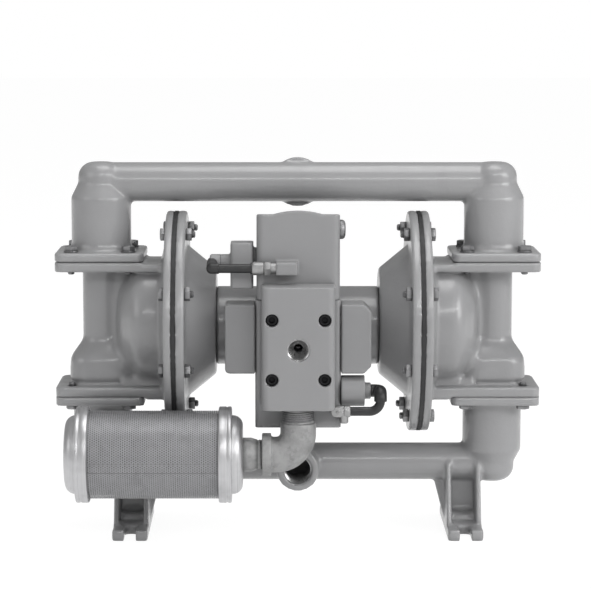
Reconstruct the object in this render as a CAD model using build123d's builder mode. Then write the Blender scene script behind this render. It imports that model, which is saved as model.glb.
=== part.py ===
from build123d import *
import os

# An air operated double diaphragm pump of the 1 inch size, in millimetres.
# The origin lies on the floor midway between the feet, X runs along the diaphragm rod,
# the front with the air valve faces -Y, and +Z is up.

# ---------------------------------------------------------------- driving dimensions

# whole pump
rod_axis_z = 238
discharge_axis_z = 395
suction_axis_z = 77
leg_x = 220.5

# square flanges between the manifolds and the outer chambers
discharge_joint_z = 309
suction_joint_z = 158
square_flange_size = 99
square_flange_corner = 9
manifold_flange_thickness = 10
chamber_flange_thickness = 11
square_bolt_spacing = 64
bolt_diameter = 8
bolt_hole_clearance = 0.5
hex_across_flats = 13
hex_head_height = 5.5
hex_nut_height = 6.5
stud_overhang = 4

# round flanges that clamp the diaphragms
round_flange_radius = 124
round_flange_edge = 1.5
clamp_face_x = 134
diaphragm_thickness = 4
air_flange_thickness = 10
fluid_flange_thickness = 9
round_bolt_circle_radius = 110
round_bolt_count = 8
bowl_radius = 92

# castings
casting_wall = 6
thread_1_inch_radius = 15.4
thread_chamfer = 1.5
pipe_outer_radius = 22
pipe_bore_radius = 15
leg_outer_radius = 33.5
leg_bore_radius = 27.5
leg_flare = 3
leg_flare_height = 7
elbow_outer_radius = 25.5
elbow_corner_radius = 17
elbow_rise = 0.5
port_boss_radius = 24.5
port_boss_reach = 58
discharge_boss_radius = 28
discharge_boss_reach = 48
port_thread_depth = 26
port_throat_radius = 14

# outer chamber
dome_radius = 70.5
dome_reach_x = 206
neck_outer_radius = 21.5
neck_bore_radius = 15.5
cage_width = 71
cage_bore_radius = 28
cage_top_z = 198
cage_shoulder_z = 217

# balls and seats
ball_radius = 20
ball_lift = 10
seat_bore_radius = 15.5
seat_contact_radius = 17.5
seat_outer_radius = 29
seat_height = 10
seat_fit = 0.1
guide_clearance = 0.8
guide_rib_width = 5
stop_lug_height = 6
ball_rest_gap = 0.3

# air chambers and centre bracket
hub_face_x = 91
hub_radius = 59
cone_radius = 86
bracket_radius = 44
bracket_drop = 5

# diaphragm rod
rod_radius = 9.5
running_fit = 0.05
fixed_fit = 0.1
stud_radius = 8
bushing_radius = 13
bushing_length = 30
inner_plate_radius = 60
inner_plate_thickness = 8
inner_plate_hub_radius = 18
inner_plate_hub_length = 8
outer_plate_radius = 58
outer_plate_thickness = 10
fold_depth = 6
fold_clearance = 2

# air valve
valve_body_width = 94
valve_body_front_y = -97
valve_body_back_y = -55
valve_body_bottom_z = 132
valve_body_top_z = 273
inlet_block_width = 79.5
inlet_block_front_y = -137
inlet_block_bottom_z = 157
inlet_block_top_z = 291.5
inlet_axis_z = 223
inlet_thread_radius = 12
inlet_thread_depth = 18
gasket_thickness = 1
screw_spacing_x = 57
screw_spacing_z = 65
screw_head_radius = 6.5
screw_recess_radius = 7
screw_recess_depth = 14
spool_axis_z = 230
spool_axis_y = -76
sleeve_outer_radius = 15
spool_land_radius = 11
spool_stem_radius = 6.5
spool_length = 78
end_cap_reach_x = 80
end_cap_height = 76
end_cap_depth = 42
exhaust_axis_y = -117
exhaust_thread_radius = 16.7

# upper pilot block
upper_block_width = 91
upper_block_front_y = -98
upper_block_back_y = -38
upper_block_top_z = 367
upper_block_crown = 4
pilot_axis_z = 348
pilot_axis_y = -70
pilot_spool_radius = 6
pilot_spool_length = 66
pilot_travel = 4

# pilot fittings and air tubes
tube_radius = 5
tube_axis_y = -108
left_tube_z = 309
left_pilot_front_y = -92
right_pilot_z = 171.5
right_pilot_y = -85
right_pilot_radius = 17
right_tube_z = 151.5
right_tube_y = -104
right_hex_start_x = 41
right_hex_end_x = 57

# silencer and exhaust
silencer_axis_z = 106
silencer_cap_radius = 52.5
silencer_shell_radius = 48
silencer_left_x = -253.5
silencer_right_x = -60.3
silencer_dome = 12
silencer_dome_radius = 43
silencer_band = 14
shell_thickness = 1
element_radius = 44
nipple_radius = 16.7
exhaust_bore_radius = 12.5
elbow_radius = 19.5
elbow_band_radius = 23.5
elbow_bend_radius = 24
elbow_band_length = 10
exhaust_thread_show = 15.5
elbow_face_x = -39.5

# feet
foot_centre_x = 187
foot_width = 40
foot_length = 150
foot_pad_height = 12
foot_slot_width = 13
foot_slot_depth = 36
foot_rib_thickness = 6
foot_rib_spacing = 33
foot_rib_base = 96

# ---------------------------------------------------------------- shared values

bolt_radius = bolt_diameter / 2
bolt_hole_radius = bolt_radius + bolt_hole_clearance
fluid_face_x = clamp_face_x + diaphragm_thickness
seat_rise = (ball_radius**2 - seat_contact_radius**2) ** 0.5
seat_slope = seat_contact_radius / seat_rise
seat_cone = (seat_contact_radius - seat_bore_radius) * seat_slope
ball_rest_rise = ball_rest_gap * ball_radius / seat_rise
rod_axis = Axis((0, 0, rod_axis_z), (1, 0, 0))
leg_axis = Axis((leg_x, 0, 0), (0, 0, 1))
rod_plane = Plane(origin=(0, 0, rod_axis_z), x_dir=(1, 0, 0), z_dir=(0, -1, 0))
leg_plane = Plane(origin=(leg_x, 0, 0), x_dir=(1, 0, 0), z_dir=(0, -1, 0))

os.makedirs("parts", exist_ok=True)


def outline(*corners):
    """Add to the current sketch a closed face whose corners are (across, up, corner radius)."""
    points = [(across, up) for across, up, _ in corners]
    radii = [radius for _, _, radius in corners]
    with BuildLine(mode=Mode.PRIVATE) as edge_loop:
        FilletPolyline(*points, radius=radii, close=True)
    make_face(edge_loop.edges())


def across_x(x, y=0, z=rod_axis_z):
    """A plane that looks along +X, with its local x along +Y and its origin at the given point."""
    return Plane(origin=(x, y, z), x_dir=(0, 1, 0), z_dir=(1, 0, 0))


def save(builder, name):
    """Label a finished piece and write it to its own file."""
    builder.part.label = name
    export_step(builder.part, f"parts/{name}.step")


def save_pair(builder, name):
    """Write a right-hand piece and its mirror image on the left."""
    save(builder, "right_" + name)
    with BuildPart() as left_hand:
        mirror(builder.part, about=Plane.YZ)
    save(left_hand, "left_" + name)


# ---------------------------------------------------------------- discharge manifold

discharge_top_z = discharge_axis_z + pipe_outer_radius + elbow_rise
leg_shoulder_z = discharge_axis_z - 17


def square_flange(bottom_z, thickness):
    """Add a square flange plate round the right leg's axis."""
    with BuildSketch(Plane.XY.offset(bottom_z), mode=Mode.PRIVATE) as plate:
        with Locations((leg_x, 0)):
            RectangleRounded(square_flange_size, square_flange_size, square_flange_corner)
    extrude(plate.sketch, amount=thickness)


def square_flange_holes(bottom_z, thickness, radius):
    """Cut the four bolt holes of the flange on the right leg's axis."""
    with BuildSketch(Plane.XY.offset(bottom_z), mode=Mode.PRIVATE) as holes:
        with Locations((leg_x, 0)):
            with GridLocations(square_bolt_spacing, square_bolt_spacing, 2, 2):
                Circle(radius)
    extrude(holes.sketch, amount=thickness, mode=Mode.SUBTRACT)


def leg_turning(*corners, mode=Mode.ADD):
    """Revolve an outline of (radius, z, corner radius) about the right leg's axis."""
    with BuildSketch(leg_plane, mode=Mode.PRIVATE) as section:
        outline(*corners)
    revolve(section.sketch, axis=leg_axis, mode=mode)


def rod_turning(*corners, mode=Mode.ADD):
    """Revolve an outline of (x, radius, corner radius) about the diaphragm rod's axis."""
    with BuildSketch(rod_plane, mode=Mode.PRIVATE) as section:
        outline(*corners)
    revolve(section.sketch, axis=rod_axis, mode=mode)


def bar_x(radius, start_x, end_x, y, z, mode=Mode.ADD):
    """A round bar or bore along X."""
    with BuildSketch(across_x(start_x, y, z), mode=Mode.PRIVATE) as disc:
        Circle(radius)
    extrude(disc.sketch, amount=end_x - start_x, mode=mode)


def bar_y(radius, start_y, end_y, x, z, mode=Mode.ADD):
    """A round bar or bore along Y, towards the rear."""
    with BuildSketch(Plane.XZ.offset(-start_y), mode=Mode.PRIVATE) as disc:
        with Locations((x, z)):
            Circle(radius)
    extrude(disc.sketch, amount=start_y - end_y, mode=mode)


def bar_z(radius, start_z, end_z, x, y, mode=Mode.ADD):
    """A round bar or bore along Z."""
    with BuildSketch(Plane.XY.offset(start_z), mode=Mode.PRIVATE) as disc:
        with Locations((x, y)):
            Circle(radius)
    extrude(disc.sketch, amount=end_z - start_z, mode=mode)


def block(low_x, high_x, low_y, high_y, low_z, high_z, corner=0, mode=Mode.ADD):
    """A block between six planes, with its upright edges rounded by the corner radius."""
    with BuildSketch(Plane.XY.offset(low_z), mode=Mode.PRIVATE) as base:
        with Locations(((low_x + high_x) / 2, (low_y + high_y) / 2)):
            if corner:
                RectangleRounded(high_x - low_x, high_y - low_y, corner)
            else:
                Rectangle(high_x - low_x, high_y - low_y)
    extrude(base.sketch, amount=high_z - low_z, mode=mode)


def seat_pocket(joint_z, upwards):
    """Cut the half of a seat's pocket that lies on one side of a flange joint."""
    depth = seat_height / 2 * upwards
    pocket_radius = seat_outer_radius + seat_fit
    bar_z(pocket_radius, joint_z, joint_z + depth, leg_x, 0, mode=Mode.SUBTRACT)


def threaded_port(mouth_y, inwards, z):
    """Cut a port along Y: a chamfered thread wall, then the narrower way on to the cross pipe."""
    thread_end_y = mouth_y + inwards * port_thread_depth
    bar_y(thread_1_inch_radius, mouth_y, thread_end_y, 0, z, mode=Mode.SUBTRACT)
    bar_y(port_throat_radius, thread_end_y, 0, 0, z, mode=Mode.SUBTRACT)
    with BuildSketch(Plane.XY.offset(z), mode=Mode.PRIVATE) as chamfer_section:
        outline(
            (0, mouth_y, 0),
            (thread_1_inch_radius + thread_chamfer, mouth_y, 0),
            (thread_1_inch_radius, mouth_y + inwards * thread_chamfer, 0),
            (0, mouth_y + inwards * thread_chamfer, 0),
        )
    port_axis = Axis((0, 0, z), (0, 1, 0))
    revolve(chamfer_section.sketch, axis=port_axis, mode=Mode.SUBTRACT)


def ball_cage(joint_z, bottom_z, wall_radius):
    """Add four ribs that keep a ball over its seat, with lugs that stop it at the end of its lift."""
    ball_top_z = joint_z + seat_height / 2 - seat_cone + seat_rise + ball_rest_rise + ball_lift
    lug_reach = ball_radius / 2
    lug_z = ball_top_z + (ball_radius**2 - lug_reach**2) ** 0.5 + ball_rest_gap
    for inner, low_z in ((ball_radius + guide_clearance, bottom_z), (lug_reach, lug_z)):
        outer = wall_radius + 1
        with BuildSketch(Plane.XY.offset(low_z), mode=Mode.PRIVATE) as ribs:
            with Locations((leg_x, 0)):
                with PolarLocations((inner + outer) / 2, 4, 45):
                    Rectangle(outer - inner, guide_rib_width)
        extrude(ribs.sketch, amount=lug_z + stop_lug_height - low_z)


with BuildPart() as discharge_manifold:
    # the right leg with its flared foot, shoulder and rounded elbow
    flange_top_z = discharge_joint_z + manifold_flange_thickness
    leg_turning(
        (0, discharge_joint_z, 0),
        (leg_outer_radius + leg_flare, discharge_joint_z, 0),
        (leg_outer_radius + leg_flare, flange_top_z, 0),
        (leg_outer_radius, flange_top_z + leg_flare_height, 6),
        (leg_outer_radius, leg_shoulder_z, 1.5),
        (elbow_outer_radius, discharge_axis_z - 1, 1.5),
        (elbow_outer_radius, discharge_top_z, elbow_corner_radius),
        (0, discharge_top_z, 0),
    )
    square_flange(discharge_joint_z, manifold_flange_thickness)
    bar_x(pipe_outer_radius, 0, leg_x, 0, discharge_axis_z)
    # its passage, with the seat pocket, the ball guides and the bolt holes
    leg_turning(
        (0, discharge_joint_z, 0),
        (leg_bore_radius, discharge_joint_z, 0),
        (leg_bore_radius, leg_shoulder_z - 4, 0),
        (elbow_outer_radius - casting_wall, discharge_axis_z - 4, 0),
        (elbow_outer_radius - casting_wall, discharge_top_z - casting_wall, 10),
        (0, discharge_top_z - casting_wall, 0),
        mode=Mode.SUBTRACT,
    )
    seat_pocket(discharge_joint_z, 1)
    ball_cage(discharge_joint_z, discharge_joint_z + seat_height / 2 + 1, leg_bore_radius)
    square_flange_holes(discharge_joint_z, manifold_flange_thickness, bolt_hole_radius)
    # the left half, and the port boss that faces the rear
    mirror(about=Plane.YZ)
    bar_y(discharge_boss_radius, 0, discharge_boss_reach, 0, discharge_axis_z)
    bar_x(pipe_bore_radius, -leg_x, leg_x, 0, discharge_axis_z, mode=Mode.SUBTRACT)
    threaded_port(discharge_boss_reach, -1, discharge_axis_z)

save(discharge_manifold, "discharge_manifold")

# ---------------------------------------------------------------- suction manifold

suction_pipe_radius = pipe_outer_radius - 1
suction_leg_radius = leg_outer_radius - 0.5
suction_bottom_z = suction_axis_z - suction_pipe_radius - elbow_rise
suction_shoulder_z = suction_axis_z + 15
foot_inner_x = foot_centre_x - foot_width / 2
foot_outer_x = foot_centre_x + foot_width / 2

with BuildPart() as suction_manifold:
    # the right leg, which narrows into a rounded elbow at its foot
    flange_bottom_z = suction_joint_z - manifold_flange_thickness
    leg_turning(
        (0, suction_joint_z, 0),
        (suction_leg_radius + leg_flare, suction_joint_z, 0),
        (suction_leg_radius + leg_flare, flange_bottom_z, 0),
        (suction_leg_radius, flange_bottom_z - leg_flare_height, 6),
        (suction_leg_radius, suction_shoulder_z, 1.5),
        (elbow_outer_radius, suction_axis_z + 1, 1.5),
        (elbow_outer_radius, suction_bottom_z, elbow_corner_radius),
        (0, suction_bottom_z, 0),
    )
    square_flange(flange_bottom_z, manifold_flange_thickness)
    bar_x(suction_pipe_radius, 0, leg_x, 0, suction_axis_z)
    # the foot: a slotted pad, an upright web along the pipe and two ribs across it
    with BuildSketch(Plane.XY):
        with Locations((foot_centre_x, 0)):
            RectangleRounded(foot_width, foot_length, 4)
        for side in (-1, 1):
            slot_end = side * (foot_length / 2 - foot_slot_depth + foot_slot_width / 2)
            with Locations((foot_centre_x, slot_end)):
                Circle(foot_slot_width / 2, mode=Mode.SUBTRACT)
            with Locations((foot_centre_x, side * foot_length / 2)):
                Rectangle(
                    foot_slot_width,
                    2 * (foot_slot_depth - foot_slot_width / 2),
                    mode=Mode.SUBTRACT,
                )
    extrude(amount=foot_pad_height)
    with BuildSketch(Plane.XZ):
        with BuildLine():
            Polyline(
                (foot_inner_x, foot_pad_height - 1),
                (foot_inner_x - 17, suction_axis_z),
                (foot_outer_x, suction_axis_z),
                (foot_outer_x, foot_pad_height - 1),
                close=True,
            )
        make_face()
    extrude(amount=foot_rib_thickness, both=True)
    rib_top_reach = suction_pipe_radius + 2
    for rib_x in (-foot_rib_spacing / 2, foot_rib_spacing / 2):
        with BuildSketch(across_x(foot_centre_x + rib_x - foot_rib_thickness / 2, z=0)):
            outline(
                (-foot_rib_base / 2, foot_pad_height - 1, 0),
                (-rib_top_reach, suction_axis_z + 4, 6),
                (rib_top_reach, suction_axis_z + 4, 6),
                (foot_rib_base / 2, foot_pad_height - 1, 0),
            )
        extrude(amount=foot_rib_thickness)
    # its passage, with the seat pocket and the tapped bolt holes
    leg_turning(
        (0, suction_joint_z, 0),
        (seat_bore_radius + 2, suction_joint_z, 0),
        (leg_bore_radius, suction_joint_z - seat_height, 0),
        (leg_bore_radius, suction_shoulder_z + 4, 0),
        (elbow_outer_radius - casting_wall, suction_axis_z + 4, 0),
        (elbow_outer_radius - casting_wall, suction_bottom_z + casting_wall, 10),
        (0, suction_bottom_z + casting_wall, 0),
        mode=Mode.SUBTRACT,
    )
    seat_pocket(suction_joint_z, -1)
    square_flange_holes(flange_bottom_z, manifold_flange_thickness, bolt_hole_radius)
    # the left half, and the port boss that faces the front
    mirror(about=Plane.YZ)
    bar_y(port_boss_radius - 1, -port_boss_reach, 0, 0, suction_axis_z)
    bar_x(pipe_bore_radius, -leg_x, leg_x, 0, suction_axis_z, mode=Mode.SUBTRACT)
    threaded_port(-port_boss_reach, 1, suction_axis_z)

save(suction_manifold, "suction_manifold")

# ---------------------------------------------------------------- outer chambers

fluid_flange_outer_x = fluid_face_x + fluid_flange_thickness
deck_inner_x = fluid_flange_outer_x - 1
deck_outer_x = leg_x - square_flange_size / 2 + 6
manifold_edge_x = leg_x - square_flange_size / 2
deck_lip = 3

with BuildPart() as outer_chamber:
    # round flange, shoulder and dome
    dome_start_x = fluid_flange_outer_x + casting_wall
    dome_length = dome_reach_x - dome_start_x
    dome_drop = dome_radius * 0.4
    rod_turning(
        (fluid_face_x, 0, 0),
        (fluid_face_x, round_flange_radius, 0),
        (fluid_flange_outer_x, round_flange_radius, round_flange_edge),
        (fluid_flange_outer_x, bowl_radius + casting_wall, 2),
        (dome_start_x, dome_radius, 0),
        (dome_start_x + 0.51 * dome_length, dome_radius, 0.37 * dome_length),
        (dome_start_x + 0.87 * dome_length, dome_radius - dome_drop, 0.7 * dome_length),
        (dome_reach_x, 0, 0),
    )
    # square flanges and the decks that join them to the round flange
    square_flange(discharge_joint_z - chamber_flange_thickness, chamber_flange_thickness)
    square_flange(suction_joint_z, chamber_flange_thickness)
    block(
        deck_inner_x,
        deck_outer_x,
        -square_flange_size / 2,
        square_flange_size / 2,
        discharge_joint_z - chamber_flange_thickness,
        discharge_joint_z - deck_lip,
    )
    block(
        deck_inner_x,
        manifold_edge_x - 1.5,
        -square_flange_size / 2,
        square_flange_size / 2,
        suction_joint_z - deck_lip,
        suction_joint_z + chamber_flange_thickness,
    )
    block(
        deck_inner_x,
        deck_outer_x,
        -square_flange_size / 2,
        square_flange_size / 2,
        suction_joint_z,
        suction_joint_z + chamber_flange_thickness,
    )
    # upright passage: a round neck over a squarish ball cage
    bar_z(neck_outer_radius, cage_shoulder_z - 1, discharge_joint_z - 1, leg_x, 0)
    cage_base_z = suction_joint_z + chamber_flange_thickness - 1
    cage_sections = (
        (cage_base_z, cage_width - 9, 19),
        (cage_base_z + 8, cage_width, 22),
        (cage_top_z, cage_width, 22),
        (cage_shoulder_z, 2 * neck_outer_radius + 1, neck_outer_radius),
    )
    for lower, upper in zip(cage_sections, cage_sections[1:]):
        with BuildSketch(Plane.XY.offset(lower[0]), mode=Mode.PRIVATE) as lower_section:
            with Locations((leg_x, 0)):
                RectangleRounded(lower[1], lower[1], lower[2])
        with BuildSketch(Plane.XY.offset(upper[0]), mode=Mode.PRIVATE) as upper_section:
            with Locations((leg_x, 0)):
                RectangleRounded(upper[1], upper[1], upper[2])
        loft([lower_section.sketch, upper_section.sketch], ruled=True)
    # bowl behind the diaphragm, dome cavity and the window into the upright passage
    rod_turning(
        (fluid_face_x, 0, 0),
        (fluid_face_x, bowl_radius, 0),
        (fluid_face_x + 3, bowl_radius - 2, 2),
        (fluid_flange_outer_x + 2, dome_radius - casting_wall, 3),
        (dome_start_x + 0.47 * dome_length, dome_radius - casting_wall, 0.26 * dome_length),
        (dome_start_x + 0.74 * dome_length, dome_radius - casting_wall - dome_drop, dome_length / 2),
        (dome_start_x + 0.87 * dome_length, 0, 0),
        mode=Mode.SUBTRACT,
    )
    bar_x(neck_bore_radius - 1, dome_reach_x - 16, leg_x, 0, rod_axis_z, mode=Mode.SUBTRACT)
    leg_turning(
        (0, suction_joint_z, 0),
        (cage_bore_radius, suction_joint_z, 0),
        (cage_bore_radius, cage_top_z - 2, 0),
        (neck_bore_radius, cage_shoulder_z - 7, 0),
        (neck_bore_radius, discharge_joint_z, 0),
        (0, discharge_joint_z, 0),
        mode=Mode.SUBTRACT,
    )
    seat_pocket(discharge_joint_z, -1)
    seat_pocket(suction_joint_z, 1)
    ball_cage(suction_joint_z, suction_joint_z + seat_height / 2 + 1, cage_bore_radius)
    # bolt holes
    tapped_radius = bolt_radius + fixed_fit
    deck_bottom_z = discharge_joint_z - chamber_flange_thickness
    square_flange_holes(deck_bottom_z, chamber_flange_thickness, tapped_radius)
    square_flange_holes(suction_joint_z, chamber_flange_thickness, tapped_radius)
    with BuildSketch(across_x(fluid_face_x)):
        with PolarLocations(round_bolt_circle_radius, round_bolt_count, 22.5):
            Circle(bolt_hole_radius)
    extrude(amount=fluid_flange_thickness + 4, mode=Mode.SUBTRACT)

save_pair(outer_chamber, "outer_chamber")

# ---------------------------------------------------------------- air chambers

air_flange_inner_x = clamp_face_x - air_flange_thickness
hub_wall = 8

with BuildPart() as air_chamber:
    rod_turning(
        (hub_face_x, 0, 0),
        (hub_face_x, hub_radius, 5),
        (air_flange_inner_x, cone_radius, 4),
        (air_flange_inner_x, round_flange_radius, round_flange_edge),
        (clamp_face_x, round_flange_radius, 0),
        (clamp_face_x, 0, 0),
    )
    rod_turning(
        (clamp_face_x, 0, 0),
        (clamp_face_x, bowl_radius, 0),
        (clamp_face_x - 3, bowl_radius, 2),
        (clamp_face_x - 6, cone_radius - 5, 3),
        (hub_face_x + hub_wall, hub_radius - 1, 6),
        (hub_face_x + hub_wall, 0, 0),
        mode=Mode.SUBTRACT,
    )
    bar_x(
        bushing_radius + fixed_fit,
        hub_face_x,
        hub_face_x + hub_wall,
        0,
        rod_axis_z,
        mode=Mode.SUBTRACT,
    )
    with BuildSketch(across_x(air_flange_inner_x)):
        with PolarLocations(round_bolt_circle_radius, round_bolt_count, 22.5):
            Circle(bolt_hole_radius)
    extrude(amount=air_flange_thickness, mode=Mode.SUBTRACT)

save_pair(air_chamber, "air_chamber")

# ---------------------------------------------------------------- diaphragms and their plates

fold_inner_radius = inner_plate_radius + fold_clearance
fold_outer_radius = bowl_radius - fold_clearance
fold_middle_radius = (fold_inner_radius + fold_outer_radius) / 2

with BuildPart() as diaphragm:
    with BuildSketch(rod_plane):
        with BuildLine():
            Line((clamp_face_x, stud_radius + fixed_fit), (clamp_face_x, fold_inner_radius))
            ThreePointArc(
                (clamp_face_x, fold_inner_radius),
                (clamp_face_x - fold_depth, fold_middle_radius),
                (clamp_face_x, fold_outer_radius),
            )
            Line((clamp_face_x, fold_outer_radius), (clamp_face_x, round_flange_radius))
            Line((clamp_face_x, round_flange_radius), (fluid_face_x, round_flange_radius))
            Line((fluid_face_x, round_flange_radius), (fluid_face_x, fold_outer_radius))
            ThreePointArc(
                (fluid_face_x, fold_outer_radius),
                (fluid_face_x - fold_depth, fold_middle_radius),
                (fluid_face_x, fold_inner_radius),
            )
            Line((fluid_face_x, fold_inner_radius), (fluid_face_x, stud_radius + fixed_fit))
            Line(
                (fluid_face_x, stud_radius + fixed_fit),
                (clamp_face_x, stud_radius + fixed_fit),
            )
        make_face()
    revolve(axis=rod_axis)
    with BuildSketch(across_x(clamp_face_x)):
        with PolarLocations(round_bolt_circle_radius, round_bolt_count, 22.5):
            Circle(bolt_hole_radius)
    extrude(amount=diaphragm_thickness, mode=Mode.SUBTRACT)

save_pair(diaphragm, "diaphragm")

inner_plate_face_x = clamp_face_x - inner_plate_thickness
inner_hub_face_x = inner_plate_face_x - inner_plate_hub_length

with BuildPart() as inner_plate:
    rod_turning(
        (clamp_face_x, stud_radius + fixed_fit, 0),
        (clamp_face_x, inner_plate_radius, 2),
        (inner_plate_face_x, inner_plate_radius, 4),
        (inner_plate_face_x, inner_plate_hub_radius, 3),
        (inner_hub_face_x, inner_plate_hub_radius, 1),
        (inner_hub_face_x, stud_radius + fixed_fit, 0),
    )

save_pair(inner_plate, "inner_plate")

outer_plate_face_x = fluid_face_x + outer_plate_thickness
plate_hex_length = 8
stud_end_x = outer_plate_face_x - 2

with BuildPart() as outer_plate:
    rod_turning(
        (fluid_face_x, stud_radius + fixed_fit, 0),
        (fluid_face_x, outer_plate_radius, 1.5),
        (fluid_face_x + 4, outer_plate_radius, 1.5),
        (outer_plate_face_x, 20, 4),
        (outer_plate_face_x, 0, 0),
        (stud_end_x, 0, 0),
        (stud_end_x, stud_radius + fixed_fit, 0),
    )
    with BuildSketch(across_x(outer_plate_face_x)):
        RegularPolygon(15, 6, major_radius=False)
    extrude(amount=plate_hex_length)
    chamfer(edges().group_by(Axis.X)[-1], 1)

save_pair(outer_plate, "outer_plate")

with BuildPart() as diaphragm_rod:
    bar_x(rod_radius, -inner_hub_face_x, inner_hub_face_x, 0, rod_axis_z)
    bar_x(stud_radius, -stud_end_x, stud_end_x, 0, rod_axis_z)

save(diaphragm_rod, "diaphragm_rod")

# ---------------------------------------------------------------- centre bracket

bushing_end_x = hub_face_x + hub_wall
bushing_start_x = bushing_end_x - bushing_length
bracket_pad_height = 118
bracket_pad_z = (valve_body_bottom_z + valve_body_top_z) / 2 - 4

with BuildPart() as centre_bracket:
    bar_x(bracket_radius, -hub_face_x, hub_face_x, 0, rod_axis_z - bracket_drop)
    block(
        -valve_body_width / 2 + 5,
        valve_body_width / 2 - 5,
        valve_body_back_y,
        0,
        bracket_pad_z - bracket_pad_height / 2,
        bracket_pad_z + bracket_pad_height / 2 - 15,
    )
    bar_x(rod_radius + 2, -hub_face_x, hub_face_x, 0, rod_axis_z, mode=Mode.SUBTRACT)
    for low_x, high_x in ((-hub_face_x, -bushing_start_x), (bushing_start_x, hub_face_x)):
        bar_x(bushing_radius + fixed_fit, low_x, high_x, 0, rod_axis_z, mode=Mode.SUBTRACT)

save(centre_bracket, "centre_bracket")

with BuildPart() as rod_bushing:
    bar_x(bushing_radius, bushing_start_x, bushing_end_x, 0, rod_axis_z)
    bar_x(
        rod_radius + running_fit,
        bushing_start_x,
        bushing_end_x,
        0,
        rod_axis_z,
        mode=Mode.SUBTRACT,
    )

save_pair(rod_bushing, "rod_bushing")

# ---------------------------------------------------------------- ball seats and balls

for joint_z, place in ((discharge_joint_z, "discharge"), (suction_joint_z, "suction")):
    seat_top_z = joint_z + seat_height / 2
    ball_z = seat_top_z - seat_cone + seat_rise + ball_rest_rise
    with BuildPart() as ball_seat:
        leg_turning(
            (seat_bore_radius, joint_z - seat_height / 2, 0),
            (seat_bore_radius, seat_top_z - 2 * seat_cone, 0),
            (2 * seat_contact_radius - seat_bore_radius, seat_top_z, 0),
            (seat_outer_radius, seat_top_z, 0),
            (seat_outer_radius, joint_z - seat_height / 2, 0),
        )
    save_pair(ball_seat, place + "_seat")
    with BuildPart() as check_ball:
        with Locations((leg_x, 0, ball_z)):
            Sphere(ball_radius)
    save_pair(check_ball, place + "_ball")

# ---------------------------------------------------------------- air valve

inlet_block_back_y = valve_body_front_y - gasket_thickness
half_body = valve_body_width / 2
half_inlet = inlet_block_width / 2
exhaust_gallery_z = inlet_axis_z - 33
exhaust_gallery_reach = 24
port_radius = 5


def screw_holes(front_y, back_y, radius):
    """Cut the four screw holes of the inlet block through a piece."""
    with BuildSketch(Plane.XZ.offset(-front_y), mode=Mode.PRIVATE) as holes:
        with Locations((0, inlet_axis_z)):
            with GridLocations(screw_spacing_x, screw_spacing_z, 2, 2):
                Circle(radius)
    extrude(holes.sketch, amount=front_y - back_y, mode=Mode.SUBTRACT)


with BuildPart() as air_valve_body:
    block(
        -half_body,
        half_body,
        valve_body_front_y,
        valve_body_back_y,
        valve_body_bottom_z,
        valve_body_top_z,
        5,
    )
    bar_x(
        sleeve_outer_radius + fixed_fit,
        -half_body,
        half_body,
        spool_axis_y,
        spool_axis_z,
        mode=Mode.SUBTRACT,
    )
    # the air passages: inlet from the front, exhaust to the front, and two ways to the rear
    bar_y(port_radius, valve_body_front_y, spool_axis_y, 0, inlet_axis_z, mode=Mode.SUBTRACT)
    bar_y(port_radius, valve_body_front_y, spool_axis_y, 0, exhaust_gallery_z, mode=Mode.SUBTRACT)
    bar_x(
        port_radius,
        -exhaust_gallery_reach,
        exhaust_gallery_reach,
        spool_axis_y,
        exhaust_gallery_z,
        mode=Mode.SUBTRACT,
    )
    for side in (-1, 1):
        bar_z(
            port_radius,
            exhaust_gallery_z,
            spool_axis_z,
            side * exhaust_gallery_reach,
            spool_axis_y,
            mode=Mode.SUBTRACT,
        )
        bar_y(
            port_radius,
            spool_axis_y,
            valve_body_back_y,
            side * exhaust_gallery_reach / 2,
            spool_axis_z,
            mode=Mode.SUBTRACT,
        )
    screw_holes(valve_body_front_y, valve_body_front_y + 17, bolt_radius + fixed_fit)

save(air_valve_body, "air_valve_body")

with BuildPart() as valve_sleeve:
    bar_x(sleeve_outer_radius, -half_body, half_body, spool_axis_y, spool_axis_z)
    bar_x(
        spool_land_radius + running_fit,
        -half_body,
        half_body,
        spool_axis_y,
        spool_axis_z,
        mode=Mode.SUBTRACT,
    )
    sleeve_front_y = spool_axis_y - sleeve_outer_radius
    sleeve_back_y = spool_axis_y + sleeve_outer_radius
    bar_y(port_radius, sleeve_front_y, spool_axis_y, 0, inlet_axis_z, mode=Mode.SUBTRACT)
    for side in (-1, 1):
        bar_z(
            port_radius,
            spool_axis_z - sleeve_outer_radius,
            spool_axis_z,
            side * exhaust_gallery_reach,
            spool_axis_y,
            mode=Mode.SUBTRACT,
        )
        bar_y(
            port_radius,
            spool_axis_y,
            sleeve_back_y,
            side * exhaust_gallery_reach / 2,
            spool_axis_z,
            mode=Mode.SUBTRACT,
        )

save(valve_sleeve, "valve_sleeve")

with BuildPart() as valve_spool:
    land_width = 10
    land_offset = exhaust_gallery_reach / 2
    half_spool = spool_length / 2
    bar_x(spool_stem_radius, -half_spool, half_spool, spool_axis_y, spool_axis_z)
    for middle_x in (-half_spool + land_width / 2, -land_offset, land_offset, half_spool - land_width / 2):
        bar_x(
            spool_land_radius,
            middle_x - land_width / 2,
            middle_x + land_width / 2,
            spool_axis_y,
            spool_axis_z,
        )

save(valve_spool, "valve_spool")

cap_front_y = valve_body_front_y - 1
cap_top_z = spool_axis_z + end_cap_height / 2
cap_bottom_z = spool_axis_z - end_cap_height / 2

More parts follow.
